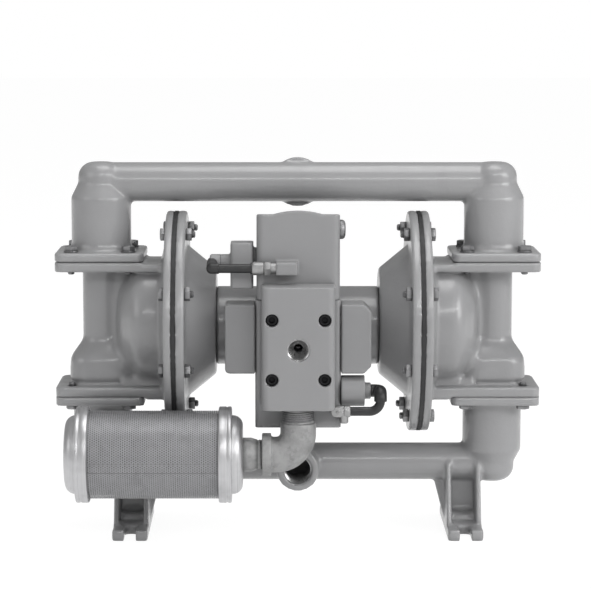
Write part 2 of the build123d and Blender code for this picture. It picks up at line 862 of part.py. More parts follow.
with BuildPart() as right_end_cap:
    with BuildSketch(Plane.XZ.offset(-cap_front_y)):
        outline(
            (half_body, cap_bottom_z, 0),
            (end_cap_reach_x - 8, cap_bottom_z, 2),
            (end_cap_reach_x, cap_bottom_z + 8, 2),
            (end_cap_reach_x, cap_top_z - 8, 2),
            (end_cap_reach_x - 8, cap_top_z, 2),
            (half_body, cap_top_z, 0),
        )
    extrude(amount=-end_cap_depth)
    bar_x(
        spool_land_radius + 0.5,
        half_body,
        half_body + 4,
        spool_axis_y,
        spool_axis_z,
        mode=Mode.SUBTRACT,
    )

save(right_end_cap, "right_end_cap")

with BuildPart() as left_end_cap:
    with BuildSketch(Plane.XZ.offset(-cap_front_y)):
        outline(
            (-half_body, cap_bottom_z, 0),
            (-half_body, cap_top_z, 0),
            (-end_cap_reach_x, cap_top_z, 3),
            (-end_cap_reach_x, cap_bottom_z, 5),
        )
    extrude(amount=-end_cap_depth)
    bar_x(
        spool_land_radius + 0.5,
        -half_body - 4,
        -half_body,
        spool_axis_y,
        spool_axis_z,
        mode=Mode.SUBTRACT,
    )

save(left_end_cap, "left_end_cap")

with BuildPart() as valve_gasket:
    block(
        -half_inlet,
        half_inlet,
        inlet_block_back_y,
        valve_body_front_y,
        inlet_block_bottom_z,
        valve_body_top_z,
    )
    for hole_z in (inlet_axis_z, exhaust_gallery_z):
        bar_y(port_radius, inlet_block_back_y, valve_body_front_y, 0, hole_z, mode=Mode.SUBTRACT)
    screw_holes(inlet_block_back_y, valve_body_front_y, bolt_hole_radius)

save(valve_gasket, "valve_gasket")

with BuildPart() as inlet_block:
    block(
        -half_inlet,
        half_inlet,
        inlet_block_front_y,
        inlet_block_back_y,
        inlet_block_bottom_z,
        inlet_block_top_z,
    )
    fillet(edges().filter_by(Axis.Z).group_by(Axis.Y)[0], 8)
    # the air inlet and its passage to the valve
    bar_y(
        inlet_thread_radius,
        inlet_block_front_y,
        inlet_block_front_y + inlet_thread_depth,
        0,
        inlet_axis_z,
        mode=Mode.SUBTRACT,
    )
    bar_y(
        port_radius,
        inlet_block_front_y + inlet_thread_depth,
        inlet_block_back_y,
        0,
        inlet_axis_z,
        mode=Mode.SUBTRACT,
    )
    # the exhaust port in the underside and its passage from the valve
    bar_z(
        exhaust_thread_radius,
        inlet_block_bottom_z,
        inlet_block_bottom_z + 18,
        0,
        exhaust_axis_y,
        mode=Mode.SUBTRACT,
    )
    bar_z(
        exhaust_bore_radius,
        inlet_block_bottom_z + 18,
        exhaust_gallery_z,
        0,
        exhaust_axis_y,
        mode=Mode.SUBTRACT,
    )
    bar_y(
        port_radius,
        exhaust_axis_y,
        inlet_block_back_y,
        0,
        exhaust_gallery_z,
        mode=Mode.SUBTRACT,
    )
    screw_holes(inlet_block_front_y, inlet_block_back_y, bolt_hole_radius)
    screw_holes(
        inlet_block_front_y,
        inlet_block_front_y + screw_recess_depth,
        screw_recess_radius,
    )

save(inlet_block, "inlet_block")

# ---------------------------------------------------------------- upper pilot block

half_upper = upper_block_width / 2
crown_reach = half_upper * 0.6
pilot_bore_reach = pilot_spool_length / 2 + pilot_travel + 1
plug_shank_radius = 8
plug_head_radius = 10.7
plug_shank_length = half_upper - pilot_bore_reach - 1
front_boss_front_y = tube_axis_y - 8
front_boss_low_x = -24
front_boss_high_x = -1

with BuildPart() as upper_block:
    with BuildSketch(Plane.XZ.offset(-upper_block_front_y)):
        with BuildLine():
            Line((-crown_reach, upper_block_top_z), (-half_upper, upper_block_top_z))
            Line((-half_upper, upper_block_top_z), (-half_upper, valve_body_top_z))
            Line((-half_upper, valve_body_top_z), (half_upper, valve_body_top_z))
            Line((half_upper, valve_body_top_z), (half_upper, upper_block_top_z))
            Line((half_upper, upper_block_top_z), (crown_reach, upper_block_top_z))
            ThreePointArc(
                (crown_reach, upper_block_top_z),
                (0, upper_block_top_z + upper_block_crown),
                (-crown_reach, upper_block_top_z),
            )
        make_face()
    extrude(amount=upper_block_front_y - upper_block_back_y)
    fillet(edges().filter_by(Axis.Z).group_by(Axis.Y)[0], 8)
    # the boss that feeds the left air tube
    block(
        front_boss_low_x,
        front_boss_high_x,
        front_boss_front_y,
        upper_block_front_y + 1,
        left_tube_z - 7,
        left_tube_z + 7,
    )
    # the pilot spool's bore and the plug's hole
    bar_x(
        pilot_spool_radius + running_fit,
        -pilot_bore_reach,
        pilot_bore_reach,
        pilot_axis_y,
        pilot_axis_z,
        mode=Mode.SUBTRACT,
    )
    bar_x(
        plug_shank_radius + fixed_fit,
        half_upper - plug_shank_length,
        half_upper,
        pilot_axis_y,
        pilot_axis_z,
        mode=Mode.SUBTRACT,
    )

save(upper_block, "upper_block")

with BuildPart() as pilot_spool:
    bar_x(
        pilot_spool_radius / 2,
        -pilot_spool_length / 2,
        pilot_spool_length / 2,
        pilot_axis_y,
        pilot_axis_z,
    )
    pilot_land = 12
    for middle_x in (-1, 0, 1):
        land_x = middle_x * (pilot_spool_length - pilot_land) / 2
        bar_x(
            pilot_spool_radius,
            land_x - pilot_land / 2,
            land_x + pilot_land / 2,
            pilot_axis_y,
            pilot_axis_z,
        )

save(pilot_spool, "pilot_spool")

pilot_bore_axis = Axis((0, pilot_axis_y, pilot_axis_z), (1, 0, 0))
pilot_bore_plane = Plane(
    origin=(0, pilot_axis_y, pilot_axis_z), x_dir=(1, 0, 0), z_dir=(0, -1, 0)
)

with BuildPart() as side_plug:
    with BuildSketch(pilot_bore_plane):
        outline(
            (half_upper - plug_shank_length, 0, 0),
            (half_upper - plug_shank_length, plug_shank_radius, 0),
            (half_upper, plug_shank_radius, 0),
            (half_upper, plug_head_radius, 0),
            (half_upper + 6.5, plug_head_radius, 5.5),
            (half_upper + 6.5, 0, 0),
        )
    revolve(axis=pilot_bore_axis)

save(side_plug, "side_plug")

# ---------------------------------------------------------------- left pilot block, fittings and tube

hex_fitting_half = 7
left_block_inner_x = -half_upper
left_block_outer_x = -74
left_elbow_x = -94
left_elbow_radius = 7.5
left_arm_y = -72

with BuildPart() as left_pilot_block:
    block(
        left_block_outer_x,
        left_block_inner_x - 3.5,
        left_pilot_front_y,
        left_pilot_front_y + 30,
        left_tube_z - 24,
        left_tube_z + 26,
        4,
    )
    bar_x(10, left_block_inner_x - 3.5, left_block_inner_x, left_arm_y - 4, left_tube_z + 10)
    bar_x(9, left_elbow_x + 8.5, left_block_outer_x, left_arm_y, left_tube_z + 3)

save(left_pilot_block, "left_pilot_block")


def hex_along_x(start_x, end_x, y, z, half_width):
    """A hexagonal bar along X."""
    with BuildSketch(across_x(start_x, y, z), mode=Mode.PRIVATE) as hexagon:
        RegularPolygon(half_width, 6, major_radius=False)
    extrude(hexagon.sketch, amount=end_x - start_x)


left_fitting_end_x = -50
left_hex_start_x = left_fitting_end_x + 7
left_hex_end_x = left_hex_start_x + 13

with BuildPart() as left_tube_fitting:
    bar_x(hex_fitting_half - 1, left_hex_end_x, front_boss_low_x, tube_axis_y, left_tube_z)
    hex_along_x(left_hex_start_x, left_hex_end_x, tube_axis_y, left_tube_z, hex_fitting_half)
    bar_x(hex_fitting_half + 0.5, left_fitting_end_x, left_hex_start_x, tube_axis_y, left_tube_z)
    bar_x(
        tube_radius + fixed_fit,
        left_fitting_end_x,
        left_fitting_end_x + 10,
        tube_axis_y,
        left_tube_z,
        mode=Mode.SUBTRACT,
    )

save(left_tube_fitting, "left_tube_fitting")

with BuildPart() as left_elbow_fitting:
    with BuildLine() as left_elbow_path:
        FilletPolyline(
            (left_elbow_x + 8, tube_axis_y, left_tube_z),
            (left_elbow_x, tube_axis_y, left_tube_z),
            (left_elbow_x, left_arm_y, left_tube_z + 3),
            radius=left_elbow_radius,
        )
    with BuildSketch(across_x(left_elbow_x + 8, tube_axis_y, left_tube_z)):
        Circle(left_elbow_radius)
    sweep()
    bar_x(9, left_elbow_x - 3, left_elbow_x + 8.5, left_arm_y, left_tube_z + 3)
    bar_x(
        tube_radius + fixed_fit,
        left_elbow_x,
        left_elbow_x + 8,
        tube_axis_y,
        left_tube_z,
        mode=Mode.SUBTRACT,
    )

save(left_elbow_fitting, "left_elbow_fitting")

with BuildPart() as left_air_tube:
    bar_x(tube_radius, left_elbow_x, left_fitting_end_x + 10, tube_axis_y, left_tube_z)

save(left_air_tube, "left_air_tube")

# ---------------------------------------------------------------- right pilot valve, fittings and tube

right_valve_step_x = half_body + 26
right_elbow_x = 90
right_elbow_radius = 7
right_tube_bend = 12
right_tube_top_z = right_pilot_z - 9
tube_entry = 6

with BuildPart() as right_pilot_valve:
    bar_x(right_pilot_radius, half_body, right_valve_step_x, right_pilot_y, right_pilot_z)
    bar_x(9, right_valve_step_x, right_elbow_x - 10, right_pilot_y, right_pilot_z)

save(right_pilot_valve, "right_pilot_valve")

with BuildPart() as right_tube_fitting:
    hex_along_x(right_hex_start_x, right_hex_end_x, right_tube_y, right_tube_z, tube_radius + 1)
    bar_y(5.5, right_tube_y, valve_body_front_y, right_hex_start_x, right_tube_z)
    bar_z(5, right_tube_z - 13, right_tube_z, right_hex_end_x - 7, right_tube_y)
    bar_x(
        tube_radius + fixed_fit,
        right_hex_end_x - tube_entry,
        right_hex_end_x,
        right_tube_y,
        right_tube_z,
        mode=Mode.SUBTRACT,
    )

save(right_tube_fitting, "right_tube_fitting")

with BuildPart() as right_elbow_fitting:
    with BuildLine():
        FilletPolyline(
            (right_elbow_x - 10, right_pilot_y, right_pilot_z),
            (right_elbow_x, right_pilot_y, right_pilot_z),
            (right_elbow_x, right_tube_y, right_pilot_z),
            (right_elbow_x, right_tube_y, right_tube_top_z),
            radius=right_elbow_radius,
        )
    with BuildSketch(across_x(right_elbow_x - 10, right_pilot_y, right_pilot_z)):
        Circle(right_elbow_radius)
    sweep()
    bar_z(
        tube_radius + fixed_fit,
        right_tube_top_z,
        right_tube_top_z + tube_entry,
        right_elbow_x,
        right_tube_y,
        mode=Mode.SUBTRACT,
    )

save(right_elbow_fitting, "right_elbow_fitting")

with BuildPart() as right_air_tube:
    with BuildLine():
        FilletPolyline(
            (right_hex_end_x - tube_entry, right_tube_y, right_tube_z),
            (right_elbow_x, right_tube_y, right_tube_z),
            (right_elbow_x, right_tube_y, right_tube_top_z + tube_entry),
            radius=right_tube_bend,
        )
    with BuildSketch(across_x(right_hex_end_x - tube_entry, right_tube_y, right_tube_z)):
        Circle(tube_radius)
    sweep()

save(right_air_tube, "right_air_tube")

# ---------------------------------------------------------------- silencer and exhaust

silencer_axis = Axis((0, exhaust_axis_y, silencer_axis_z), (1, 0, 0))
silencer_plane = Plane(
    origin=(0, exhaust_axis_y, silencer_axis_z), x_dir=(1, 0, 0), z_dir=(0, -1, 0)
)
cap_wall = 2
left_band_x = silencer_left_x + silencer_dome
left_shell_x = left_band_x + silencer_band
right_band_x = silencer_right_x - silencer_dome
right_shell_x = right_band_x - silencer_band
element_thickness = 6
nipple_hole_radius = nipple_radius + fixed_fit


def silencer_turning(*corners, mode=Mode.ADD):
    """Revolve an outline of (x, radius, corner radius) about the silencer's axis."""
    with BuildSketch(silencer_plane, mode=Mode.PRIVATE) as section:
        outline(*corners)
    revolve(section.sketch, axis=silencer_axis, mode=mode)


with BuildPart() as silencer_left_cap:
    silencer_turning(
        (left_shell_x, 0, 0),
        (left_shell_x, silencer_cap_radius, 1),
        (left_band_x, silencer_cap_radius, 2),
        (left_band_x, silencer_dome_radius, 0),
        (silencer_left_x, silencer_dome_radius, 0.9 * silencer_dome),
        (silencer_left_x, 0, 0),
    )
    silencer_turning(
        (left_shell_x, 0, 0),
        (left_shell_x, silencer_shell_radius + fixed_fit, 0),
        (left_band_x + cap_wall, silencer_shell_radius + fixed_fit, 0),
        (left_band_x + cap_wall, 0, 0),
        mode=Mode.SUBTRACT,
    )

save(silencer_left_cap, "silencer_left_cap")

with BuildPart() as silencer_right_cap:
    silencer_turning(
        (right_shell_x, nipple_hole_radius, 0),
        (right_shell_x, silencer_cap_radius, 1),
        (right_band_x, silencer_cap_radius, 2),
        (right_band_x, silencer_dome_radius, 0),
        (silencer_right_x, silencer_dome_radius, 0.9 * silencer_dome),
        (silencer_right_x, nipple_hole_radius, 0),
    )
    silencer_turning(
        (right_shell_x, 0, 0),
        (right_shell_x, silencer_shell_radius + fixed_fit, 0),
        (right_band_x - cap_wall, silencer_shell_radius + fixed_fit, 0),
        (right_band_x - cap_wall, 0, 0),
        mode=Mode.SUBTRACT,
    )

save(silencer_right_cap, "silencer_right_cap")

shell_start_x = left_band_x + cap_wall
shell_end_x = right_band_x - cap_wall

with BuildPart() as silencer_shell:
    silencer_turning(
        (shell_start_x, silencer_shell_radius - shell_thickness, 0),
        (shell_start_x, silencer_shell_radius, 0),
        (shell_end_x, silencer_shell_radius, 0),
        (shell_end_x, silencer_shell_radius - shell_thickness, 0),
    )

save(silencer_shell, "silencer_shell")

with BuildPart() as silencer_element:
    silencer_turning(
        (shell_start_x, element_radius - element_thickness, 0),
        (shell_start_x, element_radius, 0),
        (shell_end_x, element_radius, 0),
        (shell_end_x, element_radius - element_thickness, 0),
    )

save(silencer_element, "silencer_element")

nipple_end_x = elbow_face_x + elbow_band_length
nipple_collar_x = silencer_right_x + 10
nipple_collar_radius = nipple_radius + 1.8

with BuildPart() as exhaust_nipple:
    silencer_turning(
        (right_band_x, exhaust_bore_radius, 0),
        (right_band_x, nipple_radius, 0),
        (silencer_right_x, nipple_radius, 0),
        (silencer_right_x, nipple_collar_radius, 1),
        (nipple_collar_x, nipple_collar_radius, 1),
        (nipple_collar_x + 6, nipple_radius, 0),
        (nipple_end_x, nipple_radius, 0),
        (nipple_end_x, exhaust_bore_radius, 0),
    )

save(exhaust_nipple, "exhaust_nipple")

elbow_top_z = inlet_block_bottom_z - exhaust_thread_show
thread_top_z = inlet_block_bottom_z + 15

with BuildPart() as exhaust_elbow:
    with BuildLine():
        FilletPolyline(
            (elbow_face_x, exhaust_axis_y, silencer_axis_z),
            (0, exhaust_axis_y, silencer_axis_z),
            (0, exhaust_axis_y, elbow_top_z),
            radius=elbow_bend_radius,
        )
    with BuildSketch(across_x(elbow_face_x, exhaust_axis_y, silencer_axis_z)):
        Circle(elbow_radius)
    sweep()
    bar_x(elbow_band_radius, elbow_face_x, nipple_end_x, exhaust_axis_y, silencer_axis_z)
    bar_z(
        exhaust_thread_radius - fixed_fit,
        elbow_top_z,
        thread_top_z,
        0,
        exhaust_axis_y,
    )
    # the passage through the bend, and the socket of the nipple
    with BuildLine():
        FilletPolyline(
            (elbow_face_x, exhaust_axis_y, silencer_axis_z),
            (0, exhaust_axis_y, silencer_axis_z),
            (0, exhaust_axis_y, thread_top_z),
            radius=elbow_bend_radius,
        )
    with BuildSketch(across_x(elbow_face_x, exhaust_axis_y, silencer_axis_z)):
        Circle(exhaust_bore_radius)
    sweep(mode=Mode.SUBTRACT)
    bar_x(
        nipple_hole_radius,
        elbow_face_x,
        nipple_end_x,
        exhaust_axis_y,
        silencer_axis_z,
        mode=Mode.SUBTRACT,
    )

save(exhaust_elbow, "exhaust_elbow")

# ---------------------------------------------------------------- fasteners

hex_half_width = hex_across_flats / 2
washer_radius = 8
washer_thickness = 1.5


def round_flange_row(start_x, length, sides):
    """Add a ring of bars round the rod's axis: hexagons for six sides, otherwise round shanks."""
    with BuildSketch(across_x(start_x), mode=Mode.PRIVATE) as ring:
        with PolarLocations(round_bolt_circle_radius, round_bolt_count, 22.5):
            if sides == 6:
                RegularPolygon(hex_half_width, sides, major_radius=False)
            else:
                Circle(bolt_radius)
    extrude(ring.sketch, amount=length)


with BuildPart() as chamber_bolts:
    round_flange_row(fluid_flange_outer_x, hex_head_height, 6)
    nut_start_x = air_flange_inner_x - hex_nut_height
    bolt_start_x = nut_start_x - stud_overhang
    round_flange_row(bolt_start_x, fluid_flange_outer_x - bolt_start_x, 0)
    round_flange_row(nut_start_x, hex_nut_height, 6)

save_pair(chamber_bolts, "chamber_bolts")


def flange_bolt_row(start_z, length, radius, sides):
    """Add bars at the four bolt places of the right leg's flange."""
    with BuildSketch(Plane.XY.offset(start_z), mode=Mode.PRIVATE) as group:
        with Locations((leg_x, 0)):
            with GridLocations(square_bolt_spacing, square_bolt_spacing, 2, 2):
                if sides == 6:
                    RegularPolygon(radius, sides, major_radius=False)
                else:
                    Circle(radius)
    extrude(group.sketch, amount=length)


with BuildPart() as discharge_flange_bolts:
    head_z = discharge_joint_z + manifold_flange_thickness
    end_z = discharge_joint_z - chamber_flange_thickness - stud_overhang
    flange_bolt_row(head_z, washer_thickness, washer_radius, 0)
    flange_bolt_row(head_z + washer_thickness, hex_head_height, hex_half_width, 6)
    flange_bolt_row(end_z, head_z - end_z, bolt_radius, 0)
    mirror(about=Plane.YZ)

save(discharge_flange_bolts, "discharge_flange_bolts")

with BuildPart() as suction_flange_bolts:
    head_z = suction_joint_z - manifold_flange_thickness
    end_z = suction_joint_z + chamber_flange_thickness + stud_overhang
    flange_bolt_row(head_z - hex_head_height, hex_head_height, hex_half_width, 6)
    flange_bolt_row(head_z, end_z - head_z, bolt_radius, 0)
    mirror(about=Plane.YZ)

save(suction_flange_bolts, "suction_flange_bolts")

with BuildPart() as inlet_block_screws:
    head_y = inlet_block_front_y + screw_recess_depth
    screw_end_y = valve_body_front_y + 16
    head_height = 8
    for start_y, end_y, radius in (
        (head_y - head_height, head_y, screw_head_radius),
        (head_y, screw_end_y, bolt_radius),
    ):
        with BuildSketch(Plane.XZ.offset(-start_y)):
            with Locations((0, inlet_axis_z)):
                with GridLocations(screw_spacing_x, screw_spacing_z, 2, 2):
                    Circle(radius)
        extrude(amount=start_y - end_y)
    with BuildSketch(Plane.XZ.offset(head_height - head_y)):
        with Locations((0, inlet_axis_z)):
            with GridLocations(screw_spacing_x, screw_spacing_z, 2, 2):
                RegularPolygon(3, 6, major_radius=False)
    extrude(amount=-head_height / 2, mode=Mode.SUBTRACT)

save(inlet_block_screws, "inlet_block_screws")
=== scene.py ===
"""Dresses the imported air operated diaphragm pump: cast paint, bolts, silencer, threads and air lines.

Sizes and places are in millimetres; meshes, transforms, finishes and the studio in metres.
"""

from __future__ import annotations

import logging
import math
from dataclasses import dataclass
from enum import Enum
from typing import Callable, ClassVar, Iterable, Sequence

import bmesh
import bpy
from mathutils import Matrix, Vector

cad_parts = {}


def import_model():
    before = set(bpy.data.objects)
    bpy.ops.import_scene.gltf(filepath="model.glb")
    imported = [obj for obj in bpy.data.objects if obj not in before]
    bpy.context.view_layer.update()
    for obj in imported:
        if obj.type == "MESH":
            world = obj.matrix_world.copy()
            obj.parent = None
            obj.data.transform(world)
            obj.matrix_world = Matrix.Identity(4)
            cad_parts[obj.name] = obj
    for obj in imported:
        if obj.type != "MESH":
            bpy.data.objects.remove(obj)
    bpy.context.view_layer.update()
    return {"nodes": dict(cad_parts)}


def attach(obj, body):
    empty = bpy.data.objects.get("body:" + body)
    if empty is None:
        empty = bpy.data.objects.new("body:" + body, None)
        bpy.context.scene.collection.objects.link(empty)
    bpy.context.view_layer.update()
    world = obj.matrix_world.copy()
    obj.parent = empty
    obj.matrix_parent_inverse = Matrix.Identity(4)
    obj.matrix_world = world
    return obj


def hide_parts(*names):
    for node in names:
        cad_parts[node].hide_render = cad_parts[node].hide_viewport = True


Point = tuple[float, float]
Triple = tuple[float, float, float]
Box = tuple[Triple, Triple]
Nodes = dict[str, bpy.types.Object]
Socket = bpy.types.NodeSocket
BMesh = bmesh.types.BMesh

LOG = logging.getLogger("pump")
MM = 0.001
WELD = 1e-6
FIXED_BODY = "pump"

# places and sizes that several pieces share
SILENCER_Y = -117
SILENCER_Z = 106
DISCHARGE_Z = 395
INLET_FACE = (0, -137, 223)
PIPE_PITCH = 2.31


class Facing(Enum):
    """The way in which a turned or hexagonal piece points."""

    LEFT = (-1, 0, 0)
    RIGHT = (1, 0, 0)
    FRONT = (0, -1, 0)
    REAR = (0, 1, 0)
    UP = (0, 0, 1)
    DOWN = (0, 0, -1)

    def place(self, x: float, y: float, z: float) -> Matrix:
        """Give the transform that turns local +Z this way and moves the origin.

        Args:
            x: Place across the pump.
            y: Place towards the rear.
            z: Height above the floor.

        Returns:
            The transform.
        """
        turn = Vector((0, 0, 1)).rotation_difference(Vector(self.value)).to_matrix().to_4x4()
        return moved(x, y, z) @ turn


def moved(x: float, y: float, z: float) -> Matrix:
    """Give a plain move.

    Args:
        x: Distance across the pump.
        y: Distance towards the rear.
        z: Distance upwards.

    Returns:
        The transform.
    """
    return Matrix.Translation(Vector((x, y, z)) * MM)


# ---- finishes


class Graph:
    """A material's node tree, with short ways to add and join its nodes."""

    def __init__(self, name: str, colour: Triple, roughness: float, shader: str = "BsdfPrincipled") -> None:
        """Start an empty material.

        Args:
            name: The material's name.
            colour: Its middle colour.
            roughness: Its middle roughness.
            shader: The type of its shader.
        """
        self.colour = colour
        self.roughness = roughness
        self.material = bpy.data.materials.new(name)
        self.material.use_nodes = True
        self.tree = self.material.node_tree
        self.tree.nodes.clear()
        self.output = self.add("OutputMaterial")
        self.shader = self.add(shader)
        self.join(self.shader.outputs[0], self.output.inputs["Surface"])
        self.place = self.add("TexCoord").outputs["Object"]

    def add(self, kind: str) -> bpy.types.Node:
        """Add a node.

        Args:
            kind: The shader node's type, without its prefix.

        Returns:
            The node.
        """
        return self.tree.nodes.new("ShaderNode" + kind)

    def join(self, start: Socket, end: Socket) -> None:
        """Link two sockets.

        Args:
            start: The output that gives the value.
            end: The input that takes it.
        """
        self.tree.links.new(start, end)

    def noise(self, scale: float, detail: float = 3.0, stretch: Vector | None = None) -> Socket:
        """Add a noise over the object's own coordinates.

        Args:
            scale: Features per metre.
            detail: Octaves of the noise.
            stretch: Factors along X, Y and Z, where the noise is drawn out.

        Returns:
            The noise's value.
        """
        node = self.add("TexNoise")
        node.inputs["Scale"].default_value = scale
        node.inputs["Detail"].default_value = detail
        source = self.place
        if stretch is not None:
            mapping = self.add("Mapping")
            mapping.inputs["Scale"].default_value = stretch
            self.join(self.place, mapping.inputs["Vector"])
            source = mapping.outputs[0]
        self.join(source, node.inputs["Vector"])
        return node.outputs["Fac"]

    def cells(self, scale: float) -> Socket:
        """Add a crystal pattern with one random grey for each cell.

        Args:
            scale: Cells per metre.

        Returns:
            The cell's grey.
        """
        node = self.add("TexVoronoi")
        node.inputs["Scale"].default_value = scale
        self.join(self.place, node.inputs["Vector"])
        grey = self.add("SeparateColor")
        self.join(node.outputs["Color"], grey.inputs[0])
        return grey.outputs[0]

    def rings(self, centre: Vector, scale: float) -> Socket:
        """Add fine turned lines round an axis along X.

        Args:
            centre: A point on the axis.
            scale: Lines per metre.

        Returns:
            The lines' value.
        """
        mapping = self.add("Mapping")
        mapping.inputs["Location"].default_value = -centre
        self.join(self.place, mapping.inputs["Vector"])
        split = self.add("SeparateXYZ")
        self.join(mapping.outputs[0], split.inputs[0])
        flat = self.add("CombineXYZ")
        for axis in "YZ":
            self.join(split.outputs[axis], flat.inputs[axis])
        length = self.add("VectorMath")
        length.operation = "LENGTH"
        self.join(flat.outputs[0], length.inputs[0])
        along = self.add("Math")
        along.operation = "ADD"
        self.join(length.outputs["Value"], along.inputs[0])
        self.join(split.outputs["X"], along.inputs[1])
        node = self.add("TexNoise")
        node.noise_dimensions = "1D"
        node.inputs["Scale"].default_value = scale
        self.join(along.outputs[0], node.inputs["W"])
        return node.outputs["Fac"]

    def spread(self, value: Socket, low: float, high: float, start: float = 0.3, end: float = 0.7) -> Socket:
        """Map a value from its own range onto another.

        Args:
            value: The value.
            low: What the start becomes.
            high: What the end becomes.
            start: Where its own range starts.
            end: Where its own range ends.

        Returns:
            The mapped value.
        """
        node = self.add("MapRange")
        for place, number in enumerate((start, end, low, high), 1):
            node.inputs[place].default_value = number
        self.join(value, node.inputs[0])
        return node.outputs[0]

    def blend(self, share: Socket, first: Triple | Socket, second: Triple | Socket) -> Socket:
        """Mix two colours.

        Args:
            share: How much of the second colour shows.
            first: A colour, or the socket that gives it.
            second: A colour, or the socket that gives it.

        Returns:
            The mixed colour.
        """
        node = self.add("Mix")
        node.data_type = "RGBA"
        self.join(share, node.inputs[0])
        for socket, colour in ((node.inputs[6], first), (node.inputs[7], second)):
            if isinstance(colour, Socket):
                self.join(colour, socket)
            else:
                socket.default_value = (*colour, 1)
        return node.outputs[2]

    def shade(self, factor: float) -> Triple:
        """Make the finish's colour lighter or darker.

        Args:
            factor: Below 1 for darker, above 1 for lighter.

        Returns:
            The new colour.
        """
        red, green, blue = (min(1.0, part * factor) for part in self.colour)
        return red, green, blue

    def clouds(self, scale: float, dark: float, light: float) -> Socket:
        """Mix two shades of the colour in soft clouds.

        Args:
            scale: Clouds per metre.
            dark: Factor of the darker shade.
            light: Factor of the lighter shade.

        Returns:
            The mixed colour.
        """
        return self.blend(self.spread(self.noise(scale, 4), 0, 1), self.shade(dark), self.shade(light))

    def shadow(self, tone: Socket, reach: float, dark: float, ends: Point = (0.2, 0.8)) -> Socket:
        """Paint shade into the corners: darken the colour where ambient occlusion finds the surface closed
        in.

        Args:
            tone: The colour in the open.
            reach: How far a corner reaches.
            dark: Factor of the shade in the corner.
            ends: How open the surface is at the dark end and at the full tone.

        Returns:
            The darkened colour.
        """
        # painted shade: ambient occlusion darkens the colour in corners, standing in for the shade that
        # falls there
        node = self.add("AmbientOcclusion")
        node.samples = 6
        node.inputs["Distance"].default_value = reach
        return self.blend(self.spread(node.outputs["AO"], 0, 1, *ends), self.shade(dark), tone)

    def wear(self, tone: Socket, share: float, light: float) -> Socket:
        """Lighten the outer edges, where handling wears them.

        Args:
            tone: The colour off the edges.
            share: How much of the light shade shows on an edge.
            light: Factor of the light shade.

        Returns:
            The worn colour.
        """
        sharpness = self.add("NewGeometry").outputs["Pointiness"]
        return self.blend(self.spread(sharpness, 0, share, 0.54, 0.62), tone, self.shade(light))

    def coat(self, tone: Socket, rough: Socket, metal: float = 0) -> None:
        """Join the colour and the roughness to the shader.

        Args:
            tone: The colour.
            rough: The roughness.
            metal: How metallic the surface is.
        """
        self.join(tone, self.shader.inputs["Base Color"])
        self.join(rough, self.shader.inputs["Roughness"])
        self.shader.inputs["Metallic"].default_value = metal

    def sheen(self, scale: float, detail: float, below: float, above: float) -> Socket:
        """Vary the finish's roughness by a noise.

        Args:
            scale: Features per metre.
            detail: Octaves of the noise.
            below: How far the roughness falls.
            above: How far it rises.

        Returns:
            The roughness.
        """
        return self.spread(self.noise(scale, detail), self.roughness - below, self.roughness + above)

    def bump(self, *layers: tuple[Socket, float]) -> None:
        """Raise the surface.

        Args:
            layers: Each layer's height and its depth in metres.
        """
        previous = None
        for height, depth in layers:
            node = self.add("Bump")
            node.inputs["Distance"].default_value = depth
            node.inputs["Strength"].default_value = 1
            self.join(height, node.inputs["Height"])
            if previous is not None:
                self.join(previous, node.inputs["Normal"])
            previous = node.outputs[0]
        self.join(previous, self.shader.inputs["Normal"])


@dataclass(frozen=True)
class Finish:
    """What a surface is made of, and the record's slot that it belongs to."""

    name: str
    slot: str
    colour: Triple
    roughness: float
    made: ClassVar[dict[str, bpy.types.Material]] = {}

    def material(self) -> bpy.types.Material:
        """Give the finish's material, made on first use.

        Returns:
            The material.
        """
        if self.name not in Finish.made:
            graph = Graph(self.name, self.colour, self.roughness)
            self.dress(graph)
            Finish.made[self.name] = graph.material
        return Finish.made[self.name]

    def dress(self, graph: Graph) -> None:
        """Build the nodes, in a way of its own for each kind of finish.

        Args:
            graph: The empty material.
        """
        raise NotImplementedError


class CastPaint(Finish):
    """Satin paint over a sand casting, with painted shade in its corners and worn bright on its edges."""

    def dress(self, graph: Graph) -> None:
        """Build cloudy paint with a fine cast grain under it."""
        tone = graph.clouds(7, 0.94, 1.05)
        streak = graph.spread(graph.noise(34, 5, Vector((1, 1, 0.35))), 0, 0.5, 0.55, 0.8)
        tone = graph.blend(streak, tone, graph.shade(0.86))
        # painted shade: the paint's colour is darker in corners
        tone = graph.shadow(tone, 0.014, 0.7, (0.25, 0.85))
        tone = graph.wear(tone, 0.55, 1.28)
        graph.coat(tone, graph.sheen(60, 4, 0.05, 0.1))
        graph.shader.inputs["Coat Weight"].default_value = 0.55
        graph.shader.inputs["Coat Roughness"].default_value = 0.17
        grain = (graph.noise(900, 2), 0.00007)
        graph.bump(grain, (graph.noise(240, 3), 0.0002), (graph.noise(45, 2), 0.0005))


class MachinedPaint(Finish):
    """Satin paint over a machined block: flat, with hardly any grain."""

    def dress(self, graph: Graph) -> None:
        """Build smooth paint with slight clouds and worn edges."""
        tone = graph.clouds(11, 0.96, 1.04)
        # painted shade: the paint's colour is darker in corners
        tone = graph.shadow(tone, 0.01, 0.7, (0.25, 0.85))
        tone = graph.wear(tone, 0.6, 1.3)
        graph.coat(tone, graph.sheen(90, 4, 0.04, 0.08))
        graph.bump((graph.noise(700, 2), 0.00004), (graph.noise(60, 2), 0.00025))


class BareMetal(Finish):
    """Plated or turned metal with faint handling marks."""

    def dress(self, graph: Graph) -> None:
        """Build bright metal with uneven gloss."""
        # painted shade: the metal's colour is darker in corners
        tone = graph.shadow(graph.clouds(120, 0.85, 1.1), 0.006, 0.4)
        graph.coat(tone, graph.sheen(300, 3, 0.06, 0.1), metal=1)
        graph.bump((graph.noise(1500, 2), 0.000004), (graph.noise(200, 2), 0.00002))


